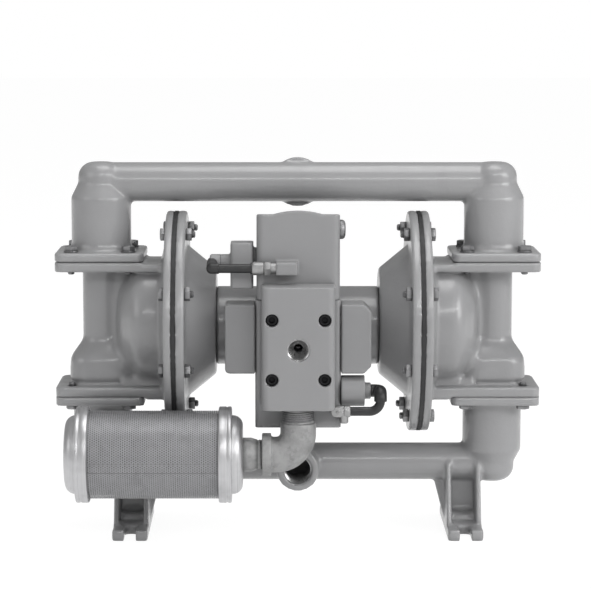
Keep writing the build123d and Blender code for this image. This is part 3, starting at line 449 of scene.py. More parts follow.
class SpunMetal(Finish):
    """Metal spun or turned about the silencer's axis, with fine rings."""

    axis: ClassVar[Vector] = Vector((0, SILENCER_Y, SILENCER_Z)) * MM

    def dress(self, graph: Graph) -> None:
        """Build bright metal with turned lines and soft stains."""
        rings = graph.rings(self.axis, 1500)
        tone = graph.blend(graph.spread(rings, 0, 1, 0.35, 0.65), graph.shade(0.88), graph.shade(1.08))
        stain = graph.spread(graph.noise(35, 5), 0, 0.5, 0.52, 0.75)
        tone = graph.blend(stain, tone, graph.shade(0.7))
        # painted shade: the metal's colour is darker in corners
        tone = graph.shadow(tone, 0.006, 0.45)
        graph.coat(tone, graph.sheen(140, 4, 0.06, 0.1), metal=0.9)
        graph.bump((rings, 0.00004), (graph.noise(90, 2), 0.0003))


class Galvanised(Finish):
    """Hot dip zinc over malleable iron, with a mottled crystal pattern."""

    def dress(self, graph: Graph) -> None:
        """Build mottled zinc with white bloom and a rough cast skin."""
        mottle = graph.spread(graph.noise(85, 6), 0, 1, 0.35, 0.65)
        crystal = graph.spread(graph.cells(300), 0, 1, 0, 1)
        tone = graph.blend(crystal, graph.shade(0.82), graph.shade(1.12))
        tone = graph.blend(mottle, tone, graph.shade(1.35))
        dirt = graph.spread(graph.noise(38, 5), 0, 0.7, 0.5, 0.72)
        tone = graph.blend(dirt, tone, graph.shade(0.55))
        # painted shade: the zinc's colour is darker in corners
        tone = graph.shadow(tone, 0.01, 0.45)
        rough = graph.spread(mottle, self.roughness - 0.08, self.roughness + 0.16, 0, 1)
        graph.coat(tone, rough, metal=0.55)
        graph.bump((graph.noise(700, 3), 0.00012), (graph.noise(110, 4), 0.0006))


class Moulded(Finish):
    """Black rubber or plastic with a slight sheen."""

    def dress(self, graph: Graph) -> None:
        """Build dark moulding with an uneven sheen."""
        graph.coat(graph.clouds(60, 0.8, 1.5), graph.sheen(150, 4, 0.06, 0.12))
        graph.bump((graph.noise(1200, 2), 0.00004), (graph.noise(120, 2), 0.0001))


PAINT = CastPaint("cast_paint", "painted_casting", (0.3, 0.3, 0.305), 0.36)
BLOCK_PAINT = MachinedPaint("block_paint", "painted_casting", (0.28, 0.28, 0.285), 0.4)
ZINC = BareMetal("zinc_plate", "zinc_plate", (0.4, 0.4, 0.4), 0.5)
DULL_ZINC = BareMetal("dull_zinc_plate", "zinc_plate", (0.3, 0.3, 0.305), 0.5)
PORT_METAL = BareMetal("cut_thread", "machined_metal", (0.5, 0.5, 0.5), 0.3)
TURNED = BareMetal("turned_steel", "machined_metal", (0.6, 0.6, 0.61), 0.25)
BRONZE = BareMetal("turned_bronze", "bronze", (0.6, 0.42, 0.2), 0.3)
BLACK_OXIDE = BareMetal("black_oxide", "dark_screw", (0.035, 0.035, 0.037), 0.45)
CAP_METAL = SpunMetal("spun_cap", "silencer_cap_metal", (0.56, 0.56, 0.57), 0.4)
SHEET = SpunMetal("perforated_sheet", "perforated_metal", (0.37, 0.37, 0.38), 0.55)
GALVANISED = Galvanised("galvanised_iron", "galvanised_metal", (0.3, 0.3, 0.3), 0.55)
RUBBER = Moulded("black_rubber", "black_rubber", (0.018, 0.018, 0.019), 0.55)
PLASTIC = Moulded("black_plastic", "black_plastic", (0.02, 0.02, 0.021), 0.38)
FELT = Moulded("silencer_felt", "black_rubber", (0.11, 0.11, 0.11), 0.9)


# ---- making pieces


def settle(
    name: str, shape: BMesh | bpy.types.Mesh, finish: Finish, replaces: Iterable[str] = (), sharp: float = 32
) -> None:
    """Make a shape a piece of the pump's fixed body, with its finish and smooth shading.

    Args:
        name: The piece's name.
        shape: Its shape, in place. A bmesh gets its faces turned outwards, and is freed.
        finish: What it is made of.
        replaces: The CAD nodes that it stands for.
        sharp: Degrees above which an edge stays sharp.
    """
    mesh = shape
    if isinstance(shape, BMesh):
        bmesh.ops.recalc_face_normals(shape, faces=shape.faces)
        mesh = bpy.data.meshes.new(name)
        shape.to_mesh(mesh)
        shape.free()
    piece = bpy.data.objects.new(name, mesh)
    bpy.context.scene.collection.objects.link(piece)
    mesh.materials.clear()
    mesh.materials.append(finish.material())
    mesh.polygons.foreach_set("use_smooth", [True] * len(mesh.polygons))
    mesh.set_sharp_from_angle(angle=math.radians(sharp))
    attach(piece, FIXED_BODY)
    nodes = tuple(replaces)
    if nodes:
        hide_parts(*nodes)
    LOG.info("%s: %d faces, %s", name, len(mesh.polygons), finish.name)


def lathe(bm: BMesh, profile: Sequence[Point], place: Matrix, steps: int = 64) -> None:
    """Add a closed profile turned about the local Z axis.

    Args:
        bm: The shape to add to.
        profile: Corners as (height, radius), in order round the loop.
        place: Where the local frame goes.
        steps: Facets round the axis.
    """
    corners = [bm.verts.new((radius * MM, 0, height * MM)) for height, radius in profile]
    edges = [bm.edges.new(pair) for pair in zip(corners, corners[1:] + corners[:1])]
    before = set(bm.verts) - set(corners)
    bmesh.ops.spin(
        bm, geom=corners + edges, cent=(0, 0, 0), axis=(0, 0, 1), angle=math.tau, steps=steps, use_merge=True
    )
    turned = [v for v in bm.verts if v not in before]
    bmesh.ops.remove_doubles(bm, verts=turned, dist=WELD)
    turned = [v for v in bm.verts if v not in before]
    bmesh.ops.transform(bm, matrix=place, verts=turned)


def prism(
    bm: BMesh, sides: int, flat_radius: float, start: float, end: float, place: Matrix, chamfer: float
) -> None:
    """Add a regular prism along local Z, with both ends chamfered.

    Args:
        bm: The shape to add to.
        sides: Sides of the prism, other than four.
        flat_radius: From its axis to a flat.
        start: Its lower end.
        end: Its upper end.
        place: Where the local frame goes.
        chamfer: Width of the end chamfers.
    """
    radius = flat_radius / math.cos(math.pi / sides) * MM
    centre = place @ moved(0, 0, (start + end) / 2)
    depth = (end - start) * MM
    made = bmesh.ops.create_cone(
        bm, cap_ends=True, segments=sides, radius1=radius, radius2=radius, depth=depth, matrix=centre
    )
    faces = {face for vert in made["verts"] for face in vert.link_faces}
    rims = {edge for face in faces if len(face.verts) == sides for edge in face.edges}
    bmesh.ops.bevel(
        bm, geom=list(rims), offset=chamfer * MM, affect="EDGES", segments=2, profile=0.5, material=-1
    )


def thread(
    bm: BMesh, root: float, crest: float, start: float, end: float, pitch: float, place: Matrix
) -> None:
    """Add a screw thread's ridge as a helix about local Z.

    Args:
        bm: The shape to add to.
        root: Radius where the ridge meets the wall.
        crest: Radius of its edge.
        start: Height where it starts.
        end: Height where it ends.
        pitch: Advance in one turn.
        place: Where the local frame goes.
    """
    steps_in_turn = 40
    foot = pitch * 0.46
    flat = pitch * 0.07
    before = set(bm.verts)
    heights = ((-foot, root), (-flat, crest), (flat, crest), (foot, root))
    corners = [bm.verts.new((radius * MM, 0, (start + foot + height) * MM)) for height, radius in heights]
    section = bm.faces.new(corners)
    turns = (end - start - 2 * foot) / pitch
    steps = int(turns * steps_in_turn)
    advance = Vector((0, 0, pitch * turns / steps * MM))
    bmesh.ops.spin(
        bm, geom=[section], cent=(0, 0, 0), axis=(0, 0, 1), dvec=advance, angle=math.tau * turns, steps=steps
    )
    bmesh.ops.transform(bm, matrix=place, verts=[v for v in bm.verts if v not in before])


def stamp(bm: BMesh, pattern: BMesh, places: Iterable[Matrix]) -> None:
    """Add a copy of a finished pattern at each place, and free the pattern.

    Args:
        bm: The shape to add to.
        pattern: The repeated shape, in its local frame.
        places: Where the copies go.
    """
    mesh = bpy.data.meshes.new("pattern")
    pattern.to_mesh(mesh)
    pattern.free()
    for place in places:
        count = len(bm.verts)
        bm.from_mesh(mesh)
        bm.verts.ensure_lookup_table()
        bmesh.ops.transform(bm, matrix=place, verts=bm.verts[count:])
    bpy.data.meshes.remove(mesh)


# ---- castings


def draft_port_boss(bm: BMesh) -> None:
    """Draw in the rear rim of the discharge port's boss, which is cast with a draft.

    Args:
        bm: The discharge manifold.
    """
    rear, inside, outside, draft = 0.03, 0.018, 0.03, 0.82
    axis_z = DISCHARGE_Z * MM
    rim = [v for v in bm.verts if v.co.y > rear and inside < math.hypot(v.co.x, v.co.z - axis_z) < outside]
    bmesh.ops.scale(bm, vec=(draft, 1, draft), space=Matrix.Translation((0, 0, -axis_z)), verts=rim)


def slope_block_top(bm: BMesh) -> None:
    """Let the upper block's top fall towards the rear, as its casting's draft does.

    Args:
        bm: The upper block.
    """
    lowest, fall = 0.36, 0.085
    top = [v for v in bm.verts if v.co.z > lowest]
    front = min(v.co.y for v in top)
    for vert in top:
        bmesh.ops.translate(bm, verts=[vert], vec=(0, 0, -fall * (vert.co.y - front)))


def mirrored(boxes: Iterable[Box], side: int) -> tuple[Box, ...]:
    """Give boxes as they are, or mirrored for the left side.

    Args:
        boxes: Boxes on the right side, each a low and a high corner.
        side: 1 for right, -1 for left.

    Returns:
        The boxes of that side.
    """
    made = []
    for low, high in boxes:
        near, far = sorted((side * low[0], side * high[0]))
        made.append(((near, low[1], low[2]), (far, high[1], high[2])))
    return tuple(made)


@dataclass
class Softened:
    """A solid of the frame, made again with rounded edges and fillets."""

    node: str
    finish: Finish
    voxel: float
    rounds: int = 3
    webs: tuple[Box, ...] = ()
    fillets: tuple[Box, ...] = ()
    shape: Callable[[BMesh], None] | None = None
    fillet_rounds: int = 26
    sharp: float = 80

    def build(self, nodes: Nodes) -> None:
        """Copy the node's mesh, close it, and soften its edges.

        Args:
            nodes: The frame's nodes.
        """
        bm = bmesh.new()
        bm.from_mesh(nodes[self.node].data)
        bmesh.ops.remove_doubles(bm, verts=bm.verts, dist=WELD)
        if self.shape is not None:
            self.shape(bm)
        for low, high in self.webs:
            middle = (Vector(low) + Vector(high)) / 2
            size = (Vector(high) - Vector(low)) * MM
            bmesh.ops.create_cube(bm, size=1, matrix=moved(*middle) @ Matrix.Diagonal((*size, 1)))
        mesh = self.soften(bm)
        self.ease(mesh)
        mesh.name = self.node + "_cast"
        settle(mesh.name, mesh, self.finish, (self.node,), self.sharp)

    def soften(self, bm: BMesh) -> bpy.types.Mesh:
        """Join what overlaps into one skin of even faces, and smooth it.

        Args:
            bm: The shape. It is freed.

        Returns:
            The smoothed mesh.
        """
        rough = bpy.data.meshes.new("rough")
        bm.to_mesh(rough)
        bm.free()
        draft = bpy.data.objects.new("draft", rough)
        bpy.context.scene.collection.objects.link(draft)
        remesh = draft.modifiers.new("even", "REMESH")
        remesh.mode = "VOXEL"
        remesh.voxel_size = self.voxel * MM
        smooth = draft.modifiers.new("soften", "SMOOTH")
        smooth.factor = 0.5
        smooth.iterations = self.rounds
        shaped = draft.evaluated_get(bpy.context.evaluated_depsgraph_get())
        mesh = bpy.data.meshes.new_from_object(shaped)
        bpy.data.objects.remove(draft)
        bpy.data.meshes.remove(rough)
        return mesh

    def ease(self, mesh: bpy.types.Mesh) -> None:
        """Widen the cast fillets inside their boxes by smoothing the mesh there.

        Args:
            mesh: The remeshed casting.
        """
        if not self.fillets:
            return
        axes = {"use_axis_" + name: True for name in "xyz"}
        bm = bmesh.new()
        bm.from_mesh(mesh)
        for low, high in self.fillets:
            near = [v for v in bm.verts if all(a * MM < c < b * MM for a, c, b in zip(low, v.co, high))]
            for _ in range(self.fillet_rounds):
                bmesh.ops.smooth_vert(bm, verts=near, factor=0.5, **axes)
        bm.to_mesh(mesh)
        bm.free()


@dataclass
class Castings:
    """The painted castings and blocks. Their boxes are given for the right side."""

    cast_voxel: float = 2.0
    block_voxel: float = 1.2
    small_voxel: float = 0.9
    chamber_webs: tuple[Box, ...] = (
        ((184, -15, 196), (208, 15, 299)),
        ((178, -17, 215), (203, 17, 270)),
        ((166, -12, 283), (200, 12, 300)),
        ((146, -36, 160), (196, 36, 177)),
    )
    chamber_fillets: tuple[Box, ...] = (
        ((176, -48, 184), (214, 48, 293)),
        ((148, -60, 170), (200, 60, 186)),
        ((183, -40, 188), (262, 40, 222)),
    )
    foot_webs: tuple[Box, ...] = (((172, -24, 8), (202, 24, 21)),)
    foot_fillets: tuple[Box, ...] = (((175, -50, 10), (199, -4, 44)), ((175, 4, 10), (199, 50, 44)))

    def build(self, nodes: Nodes) -> None:
        """Soften each casting and block.

        Args:
            nodes: The frame's nodes.
        """
        cast, block, small = self.cast_voxel, self.block_voxel, self.small_voxel
        Softened("discharge_manifold", PAINT, cast, 4, shape=draft_port_boss).build(nodes)
        webs = mirrored(self.foot_webs, 1) + mirrored(self.foot_webs, -1)
        fillets = mirrored(self.foot_fillets, 1) + mirrored(self.foot_fillets, -1)
        Softened("suction_manifold", PAINT, cast, 4, webs, fillets).build(nodes)
        for side, node in ((1, "right_outer_chamber"), (-1, "left_outer_chamber")):
            webs = mirrored(self.chamber_webs, side)
            fillets = mirrored(self.chamber_fillets, side)
            Softened(node, PAINT, cast, 4, webs, fillets).build(nodes)
        for node in ("right_air_chamber", "left_air_chamber", "centre_bracket"):
            Softened(node, PAINT, cast).build(nodes)
        Softened("upper_block", BLOCK_PAINT, block, shape=slope_block_top).build(nodes)
        for node in ("air_valve_body", "inlet_block", "right_end_cap", "left_end_cap", "left_pilot_block"):
            Softened(node, BLOCK_PAINT, block).build(nodes)
        Softened("right_pilot_valve", BLOCK_PAINT, small).build(nodes)
        Softened("exhaust_elbow", GALVANISED, small, 4).build(nodes)
        Softened("right_elbow_fitting", PLASTIC, 0.6).build(nodes)


# ---- fasteners


@dataclass
class Bolt:
    """One hexagon bolt of 8 mm, along local Z, with its head above the joint."""

    across_flats: float = 13
    head: float = 5.5
    nut: float = 6.5
    shank: float = 4
    thread_depth: float = 0.55
    washer_radius: float = 8
    washer: float = 1.5
    pitch: float = 1.25

    def add_head(self, bm: BMesh, place: Matrix, washer: bool) -> None:
        """Add the head, with the low round face on its top.

        Args:
            bm: The shape to add to.
            place: The frame on the face that the bolt bears on.
            washer: Whether the head lies on a washer.
        """
        lift = self.washer if washer else 0
        if washer:
            prism(bm, 32, self.washer_radius, 0, self.washer, place, 0.3)
        top = lift + self.head
        prism(bm, 6, self.across_flats / 2, lift, top, place, 0.7)
        lathe(bm, [(top - 0.1, 0), (top - 0.1, 5.2), (top + 0.25, 4.9), (top + 0.25, 0)], place, 24)

    def add_nut(self, bm: BMesh, place: Matrix, overhang: float) -> None:
        """Add a nut, and the threaded end that stands out of it.

        Args:
            bm: The shape to add to.
            place: The frame on the face that the nut bears on.
            overhang: How far the end stands out of the nut.
        """
        prism(bm, 6, self.across_flats / 2, 0, self.nut, place, 0.8)
        self.add_end(bm, place, self.nut - 0.5, self.nut + overhang)

    def add_end(self, bm: BMesh, place: Matrix, start: float, end: float) -> None:
        """Add a threaded end with a chamfered tip.

        Args:
            bm: The shape to add to.
            place: The frame whose +Z the end follows.
            start: Where it starts.
            end: Where its tip is.
        """
        core = self.shank - self.thread_depth
        lathe(bm, [(start, 0), (start, core), (end - 0.8, core), (end, core - 0.9), (end, 0)], place, 24)
        thread(bm, core - 0.05, self.shank, start, end - 0.5, self.pitch, place)


@dataclass
class Fasteners:
    """Every bolt, nut and screw in view."""

    rod_z: float = 238
    circle: float = 110
    count: int = 8
    first_angle: float = 22.5
    head_x: float = 147
    nut_x: float = 124
    overhang: float = 3.9
    leg_x: float = 220.5
    half_spacing: float = 32
    screws_x: tuple[float, float] = (-28.5, 28.5)
    screws_z: tuple[float, float] = (190.5, 255.5)
    screw_y: float = -123

    def build(self) -> None:
        """Build the rings of chamber bolts, the flange bolts and the block's screws."""
        self.chamber_ring(Facing.RIGHT)
        self.chamber_ring(Facing.LEFT)
        self.flange_row("discharge_flange_bolts", Facing.UP, head_z=319, tip_z=294.1, washer=True)
        self.flange_row("suction_flange_bolts", Facing.DOWN, head_z=148, tip_z=172.9, washer=False)
        self.block_screws()

    def chamber_ring(self, outwards: Facing) -> None:
        """Build the ring of bolts and nuts that clamps one chamber.

        Args:
            outwards: The chamber's side, where the heads point.
        """
        hand = outwards.name.lower()
        head_x = self.head_x * outwards.value[0]
        bolt = Bolt()
        grip = self.head_x - self.nut_x
        here = Matrix.Identity(4)
        pattern = bmesh.new()
        bolt.add_head(pattern, here, False)
        bolt.add_nut(pattern, moved(0, 0, -grip) @ Matrix.Rotation(math.pi, 4, "X"), self.overhang)
        lathe(pattern, [(-grip, 0), (-grip, bolt.shank), (0, bolt.shank), (0, 0)], here, 16)
        places = []
        for number in range(self.count):
            angle = math.radians(self.first_angle + 360 / self.count * number)
            y = self.circle * math.cos(angle)
            z = self.rod_z + self.circle * math.sin(angle)
            twist = Matrix.Rotation(angle * 1.7, 4, "Z")
            places.append(outwards.place(head_x, y, z) @ twist)
        bm = bmesh.new()
        stamp(bm, pattern, places)
        settle(hand + "_chamber_bolts_fine", bm, DULL_ZINC, (hand + "_chamber_bolts",))

    def flange_row(self, node: str, facing: Facing, head_z: float, tip_z: float, washer: bool) -> None:
        """Build the eight bolts of one manifold's two square flanges.

        Args:
            node: The CAD node that they stand for.
            facing: The way in which the heads point.
            head_z: Height of the face that the heads bear on.
            tip_z: Height of the threaded tips.
            washer: Whether a washer lies under each head.
        """
        bolt = Bolt()
        pattern = bmesh.new()
        bolt.add_head(pattern, Matrix.Identity(4), washer)
        bolt.add_end(pattern, Matrix.Rotation(math.pi, 4, "X"), 0, abs(head_z - tip_z))
        offsets = (-self.half_spacing, self.half_spacing)
        places = []
        for side in (-1, 1):
            for dx in offsets:
                for y in offsets:
                    twist = Matrix.Rotation(dx * 0.9 + y * 0.4, 4, "Z")
                    places.append(facing.place(side * self.leg_x + dx, y, head_z) @ twist)
        bm = bmesh.new()
        stamp(bm, pattern, places)
        settle(node + "_fine", bm, DULL_ZINC, (node,))

    def block_screws(self) -> None:
        """Build the four socket screws in the inlet block's recesses."""
        head = [(0, 0), (0, 6.5), (7.4, 6.5), (8, 5.9), (8, 3.6), (7.6, 3.3), (4, 3.3), (4, 0)]
        shank = [(-42, 0), (-42, 4), (0.5, 4), (0.5, 0)]
        bm = bmesh.new()
        for x in self.screws_x:
            for z in self.screws_z:
                place = Facing.FRONT.place(x, self.screw_y, z)
                lathe(bm, head, place, 36)
                lathe(bm, shank, place, 20)
        settle("inlet_block_screws_fine", bm, BLACK_OXIDE, ("inlet_block_screws",))


# ---- ports


@dataclass
class PortThreads:
    """The screw threads in the ports and the exhaust, each by its root, crest, depth and pitch."""

    pipe: tuple[float, ...] = (15.45, 14.3, 24, PIPE_PITCH)
    inlet: tuple[float, ...] = (12.05, 11.1, 17, 1.81)
    lead_in: float = 1.6

    def build(self) -> None:
        """Build each port's helix just inside its wall, and the inlet's drill point."""
        inlet = Facing.FRONT.place(*INLET_FACE)
        ports = (
            ("suction_thread", Facing.FRONT.place(0, -58, 77), self.pipe),
            ("discharge_thread", Facing.REAR.place(0, 48, DISCHARGE_Z), self.pipe),
            ("inlet_thread", inlet, self.inlet),
        )
        for name, place, (root, crest, depth, pitch) in ports:
            bm = bmesh.new()
            thread(bm, root, crest, -depth, -self.lead_in, pitch, place)
            settle(name, bm, PORT_METAL, sharp=25)
        bm = bmesh.new()
        lathe(bm, [(-12.5, 11.9), (-17.9, 5.2), (-17.9, 11.9)], inlet, 48)
        settle("inlet_drill_point", bm, PORT_METAL)
        bm = bmesh.new()
        thread(bm, 16.5, 17.4, 141.8, 156.6, PIPE_PITCH, moved(0, SILENCER_Y, 0))
        settle("exhaust_thread", bm, DULL_ZINC, sharp=25)


# ---- silencer


@dataclass
class Silencer:
    """The exhaust silencer: two spun caps, a perforated tube and its nipple."""

    left: float = -253.5
    right: float = -60.3
    dome: float = 12
    band: float = 14
    cap_radius: float = 52.5
    dome_radius: float = 43
    cap_wall: float = 1.6
    shell_radius: float = 48
    shell_margin: float = 2.5
    holes_round: int = 112
    lap_edges: tuple[float, float] = (2.5, 12.5)
    nipple_bore: float = 12.5

    def cap(self, name: str, place: Matrix, hole: float, node: str) -> None:
        """Build one cap: a rolled band with a bead, and a dished end.

        Args:
            name: The piece's name.
            place: The frame at the band's inner edge, whose +Z points out of the silencer.
            hole: Radius of the hole in the dished end, or 0.
            node: The CAD node that it stands for.
        """
        band, edge, crown, wall = self.band, self.cap_radius, self.dome_radius, self.cap_wall
        end = band + self.dome
        bend = self.dome - 1
        rim = self.shell_radius + 0.15
        profile = [
            (0.4, rim), (0, rim + 0.6), (0, edge - 1.2), (0.5, edge - 0.3), (1.4, edge),
            (band * 0.55, edge), (band * 0.62, edge - 0.6), (band * 0.68, edge - 0.6), (band * 0.75, edge),
            (band - 1.4, edge), (band - 0.3, edge - 0.5), (band, edge - 1.6),
            (band, crown + 1.2), (band + 0.4, crown + 0.3),
        ]
        for angle in (0.0, 0.26, 0.52, 0.79, 1.05, 1.31, 1.5):
            height = band + 1 + bend * math.sin(angle)
            profile.append((height, crown - bend * 0.95 * (1 - math.cos(angle))))
        profile += [(end, crown * 0.6), (end, hole), (end - wall, hole), (end - wall, crown * 0.6)]
        profile += [(band + 1, crown - wall), (band - 1.8, crown - wall), (band - 1.8, rim)]
        bm = bmesh.new()
        lathe(bm, profile, place, 96)
        settle(name, bm, CAP_METAL, (node,), sharp=40)

    def hole_row(self, pitch: float, height: float) -> BMesh:
        """Build one row of the perforated tube, standing round the local Z axis.

        Args:
            pitch: From one hole to the next.
            height: The row's height.

        Returns:
            The row's shape.
        """
        bm = bmesh.new()
        radius = (self.shell_radius - 0.1) * MM
        first = bmesh.ops.create_circle(bm, segments=self.holes_round, radius=radius)["verts"]
        rim = list({edge for vert in first for edge in vert.link_edges})
        raised = bmesh.ops.extrude_edge_only(bm, edges=rim)["geom"]
        top = [item for item in raised if isinstance(item, bmesh.types.BMVert)]
        bmesh.ops.translate(bm, verts=top, vec=(0, 0, height * MM))
        cells = list(bm.faces)
        bmesh.ops.inset_individual(bm, faces=cells, thickness=pitch * 0.21 * MM, use_even_offset=True)
        corners = list({vert for face in cells for vert in face.verts})
        cut = pitch * 0.17 * MM
        bmesh.ops.bevel(
            bm, geom=corners, offset=cut, affect="VERTICES", segments=1, profile=0.5, material=-1
        )
        holes = [face for face in bm.faces if len(face.verts) >= 8]
        bmesh.ops.delete(bm, geom=holes, context="FACES")
        return bm

    def shell(self) -> None:
        """Build the perforated tube from rows, each turned by half a hole, and its lap."""
        start = self.left + self.dome + self.shell_margin
        end = self.right - self.dome - self.shell_margin
        pitch = math.tau * self.shell_radius / self.holes_round
        rows = round((end - start) / (pitch * 0.866))
        row = (end - start) / rows
        place = Facing.RIGHT.place(start, SILENCER_Y, SILENCER_Z)
        places = []
        for number in range(rows):
            turn = Matrix.Rotation(math.pi / self.holes_round * (number % 2), 4, "Z")
            places.append(place @ moved(0, 0, number * row) @ turn)
        tube = bmesh.new()
        stamp(tube, self.hole_row(pitch, row), places)
        settle("silencer_perforated_shell", tube, SHEET, ("silencer_shell",), sharp=30)
        strip = Matrix.Diagonal(((end - start) * MM, 0.7 * MM, 0.8 * MM, 1))
        lap = bmesh.new()
        for drop in self.lap_edges:
            out = math.sqrt(self.shell_radius**2 - drop**2) + 0.1
            middle = moved((start + end) / 2, SILENCER_Y - out, SILENCER_Z - drop)
            tilt = Matrix.Rotation(math.asin(drop / self.shell_radius), 4, "X")
            bmesh.ops.create_cube(lap, size=1, matrix=middle @ tilt @ strip)
        settle("silencer_lap", lap, SHEET)

    def nipple(self) -> None:
        """Build the nipple with its collar and a short run of thread before the elbow."""
        place = Facing.RIGHT.place(self.right, SILENCER_Y, SILENCER_Z)
        profile = [
            (-12, self.nipple_bore), (-12, 16.6), (-0.2, 16.6), (0, 18.2), (0.8, 18.5), (9.2, 18.5),
            (10, 18.2), (15.6, 16.4), (16.2, 15.7), (31, 15.7), (31, self.nipple_bore),
        ]
        bm = bmesh.new()
        lathe(bm, profile, place, 64)
        thread(bm, 15.65, 16.6, 16.4, 30.5, PIPE_PITCH, place)
        settle("exhaust_nipple_fine", bm, GALVANISED, ("exhaust_nipple",))

    def build(self) -> None:
        """Build the caps, the shell and the nipple."""
        inset = self.dome + self.band
        left = Facing.LEFT.place(self.left + inset, SILENCER_Y, SILENCER_Z)
        right = Facing.RIGHT.place(self.right - inset, SILENCER_Y, SILENCER_Z)
        self.cap("silencer_left_cap_spun", left, 0, "silencer_left_cap")
        self.cap("silencer_right_cap_spun", right, 16.7, "silencer_right_cap")
        self.shell()
        self.nipple()


# ---- air lines


@dataclass
class AirLines:
    """The pilot fittings and the black tubes between them."""

    left_y: float = -108
    left_z: float = 309
    elbow_x: float = -94
    elbow_radius: float = 5.9
    elbow_run: Triple = (0, 36, 3)
    right_y: float = -104
    right_z: float = 151.5
    right_x: float = 41
    tube: float = 5
    fitting_bore: float = 5.1

    def left_fitting(self) -> None:
        """Build the left push-in fitting: stem, chamfered hexagon, body and release ring."""
        place = Facing.LEFT.place(-24, self.left_y, self.left_z)
        bore = self.fitting_bore
        bm = bmesh.new()
        lathe(bm, [(-0.1, 0), (-0.1, 6), (6.2, 6), (6.2, 0)], place, 32)
        prism(bm, 6, 7, 6, 12.5, place, 0.6)
        profile = [
            (12.3, 0), (12.3, 6.2), (13.4, 6.2), (14, 7.2), (24, 7.4), (25.2, 7), (26, 6.2),
            (26, bore), (17, bore), (17, 0),
        ]
        lathe(bm, profile, place, 40)
        settle("left_tube_fitting_fine", bm, ZINC, ("left_tube_fitting",))
        bm = bmesh.new()
        lathe(bm, [(25.6, bore), (25.6, 6.1), (27.2, 6.4), (28, 6.1), (28, bore)], place, 40)
        settle("left_release_ring", bm, PLASTIC)

    def left_elbow(self) -> None:
        """Build the slender elbow at the tube's far end, and the painted arm end that it screws into."""
        radius = self.elbow_radius
        corner = moved(self.elbow_x, self.left_y, self.left_z)
        bm = bmesh.new()
        bmesh.ops.create_uvsphere(bm, u_segments=32, v_segments=20, radius=radius * MM, matrix=corner)
        socket = [(0, 0), (0, radius), (7.4, radius), (8, 5.4), (8, 0)]
        lathe(bm, socket, Facing.RIGHT.place(self.elbow_x, self.left_y, self.left_z), 32)
        run = Vector(self.elbow_run)
        turn = Vector((0, 0, 1)).rotation_difference(run).to_matrix().to_4x4()
        lathe(bm, [(0, 0), (0, radius), (run.length, radius), (run.length, 0)], corner @ turn, 32)
        settle("left_elbow_fine", bm, PLASTIC, ("left_elbow_fitting",))
        bm = bmesh.new()
        arm = [(0, 0), (0, 9), (9.6, 9), (11.4, 7.4), (11.4, 0)]
        lathe(bm, arm, Facing.LEFT.place(-85.4, self.left_y + run.y, self.left_z + run.z), 40)
        settle("left_arm_end", bm, BLOCK_PAINT)

    def right_fitting(self) -> None:
        """Build the right fitting on the valve body's front, with its lower stub."""
        place = Facing.RIGHT.place(self.right_x, self.right_y, self.right_z)
        stem = Facing.REAR.place(self.right_x, self.right_y, self.right_z)
        stub = Facing.DOWN.place(self.right_x + 9, self.right_y, self.right_z)
        bore = self.fitting_bore
        profile = [
            (8.8, 0), (8.8, 5.9), (9.6, 6.6), (14.6, 6.6), (15.6, 6.2), (16, 5.6),
            (16, bore), (10.5, bore), (10.5, 0),
        ]
        bm = bmesh.new()
        prism(bm, 6, 6, 0, 9, place, 0.6)
        lathe(bm, profile, place, 40)
        lathe(bm, [(-6, 0), (-6, 4.6), (-5.4, 5.4), (6.9, 5.4), (6.9, 0)], stem, 32)
        lathe(bm, [(0, 0), (0, 4.9), (12, 4.9), (13, 4), (13, 0)], stub, 32)
        settle("right_tube_fitting_fine", bm, ZINC, ("right_tube_fitting",))

    def tubes(self, nodes: Nodes) -> None:
        """Build the straight left tube and smooth the bent right one.

        Args:
            nodes: The frame's nodes.
        """
        start, end = -90.3, -40
        bm = bmesh.new()
        profile = [(start, 0), (start, self.tube), (end, self.tube), (end, 0)]
        lathe(bm, profile, Facing.RIGHT.place(0, self.left_y, self.left_z), 40)
        settle("left_air_tube_fine", bm, PLASTIC, ("left_air_tube",))
        Softened("right_air_tube", PLASTIC, 0.5).build(nodes)

    def side_plug(self) -> None:
        """Build the domed plug in the upper block's side."""
        profile = [
            (-5, 0), (-5, 8), (0, 8), (0, 10.2), (0.5, 10.7), (3.2, 10.7), (5.2, 9.6), (6.4, 6.8),
            (6.6, 3.5), (6.6, 0),
        ]
        bm = bmesh.new()
        lathe(bm, profile, Facing.RIGHT.place(45.5, -70, 348), 48)
        settle("side_plug_fine", bm, DULL_ZINC, ("side_plug",))

    def build(self, nodes: Nodes) -> None:
        """Build the fittings, the tubes and the plug.

        Args:
            nodes: The frame's nodes.
        """
        self.left_fitting()
        self.left_elbow()
        self.right_fitting()
        self.tubes(nodes)
        self.side_plug()


@dataclass
class HiddenWorks:
    """The nodes that keep their own shape: the inner works, seats, balls and rubber."""

    def build(self, nodes: Nodes) -> None:
        """Give each of these nodes its finish.

        Args:
            nodes: The frame's nodes.
        """
        finishes = {"valve_gasket": RUBBER, "silencer_element": FELT}
        for name in ("diaphragm_rod", "valve_sleeve", "valve_spool", "pilot_spool"):
            finishes[name] = TURNED
        for side in ("right", "left"):
            finishes[side + "_rod_bushing"] = BRONZE
            for part in ("inner_plate", "outer_plate"):
                finishes[f"{side}_{part}"] = TURNED
            for part in ("diaphragm", "discharge_seat", "suction_seat", "discharge_ball", "suction_ball"):
                finishes[f"{side}_{part}"] = RUBBER
        for name, finish in finishes.items():
            node = nodes[name]
            if not node.material_slots:
                node.data.materials.append(None)
            for slot in node.material_slots:
                slot.material = finish.material()
            LOG.info("%s keeps its shape, %s", name, finish.name)


# ---- studio


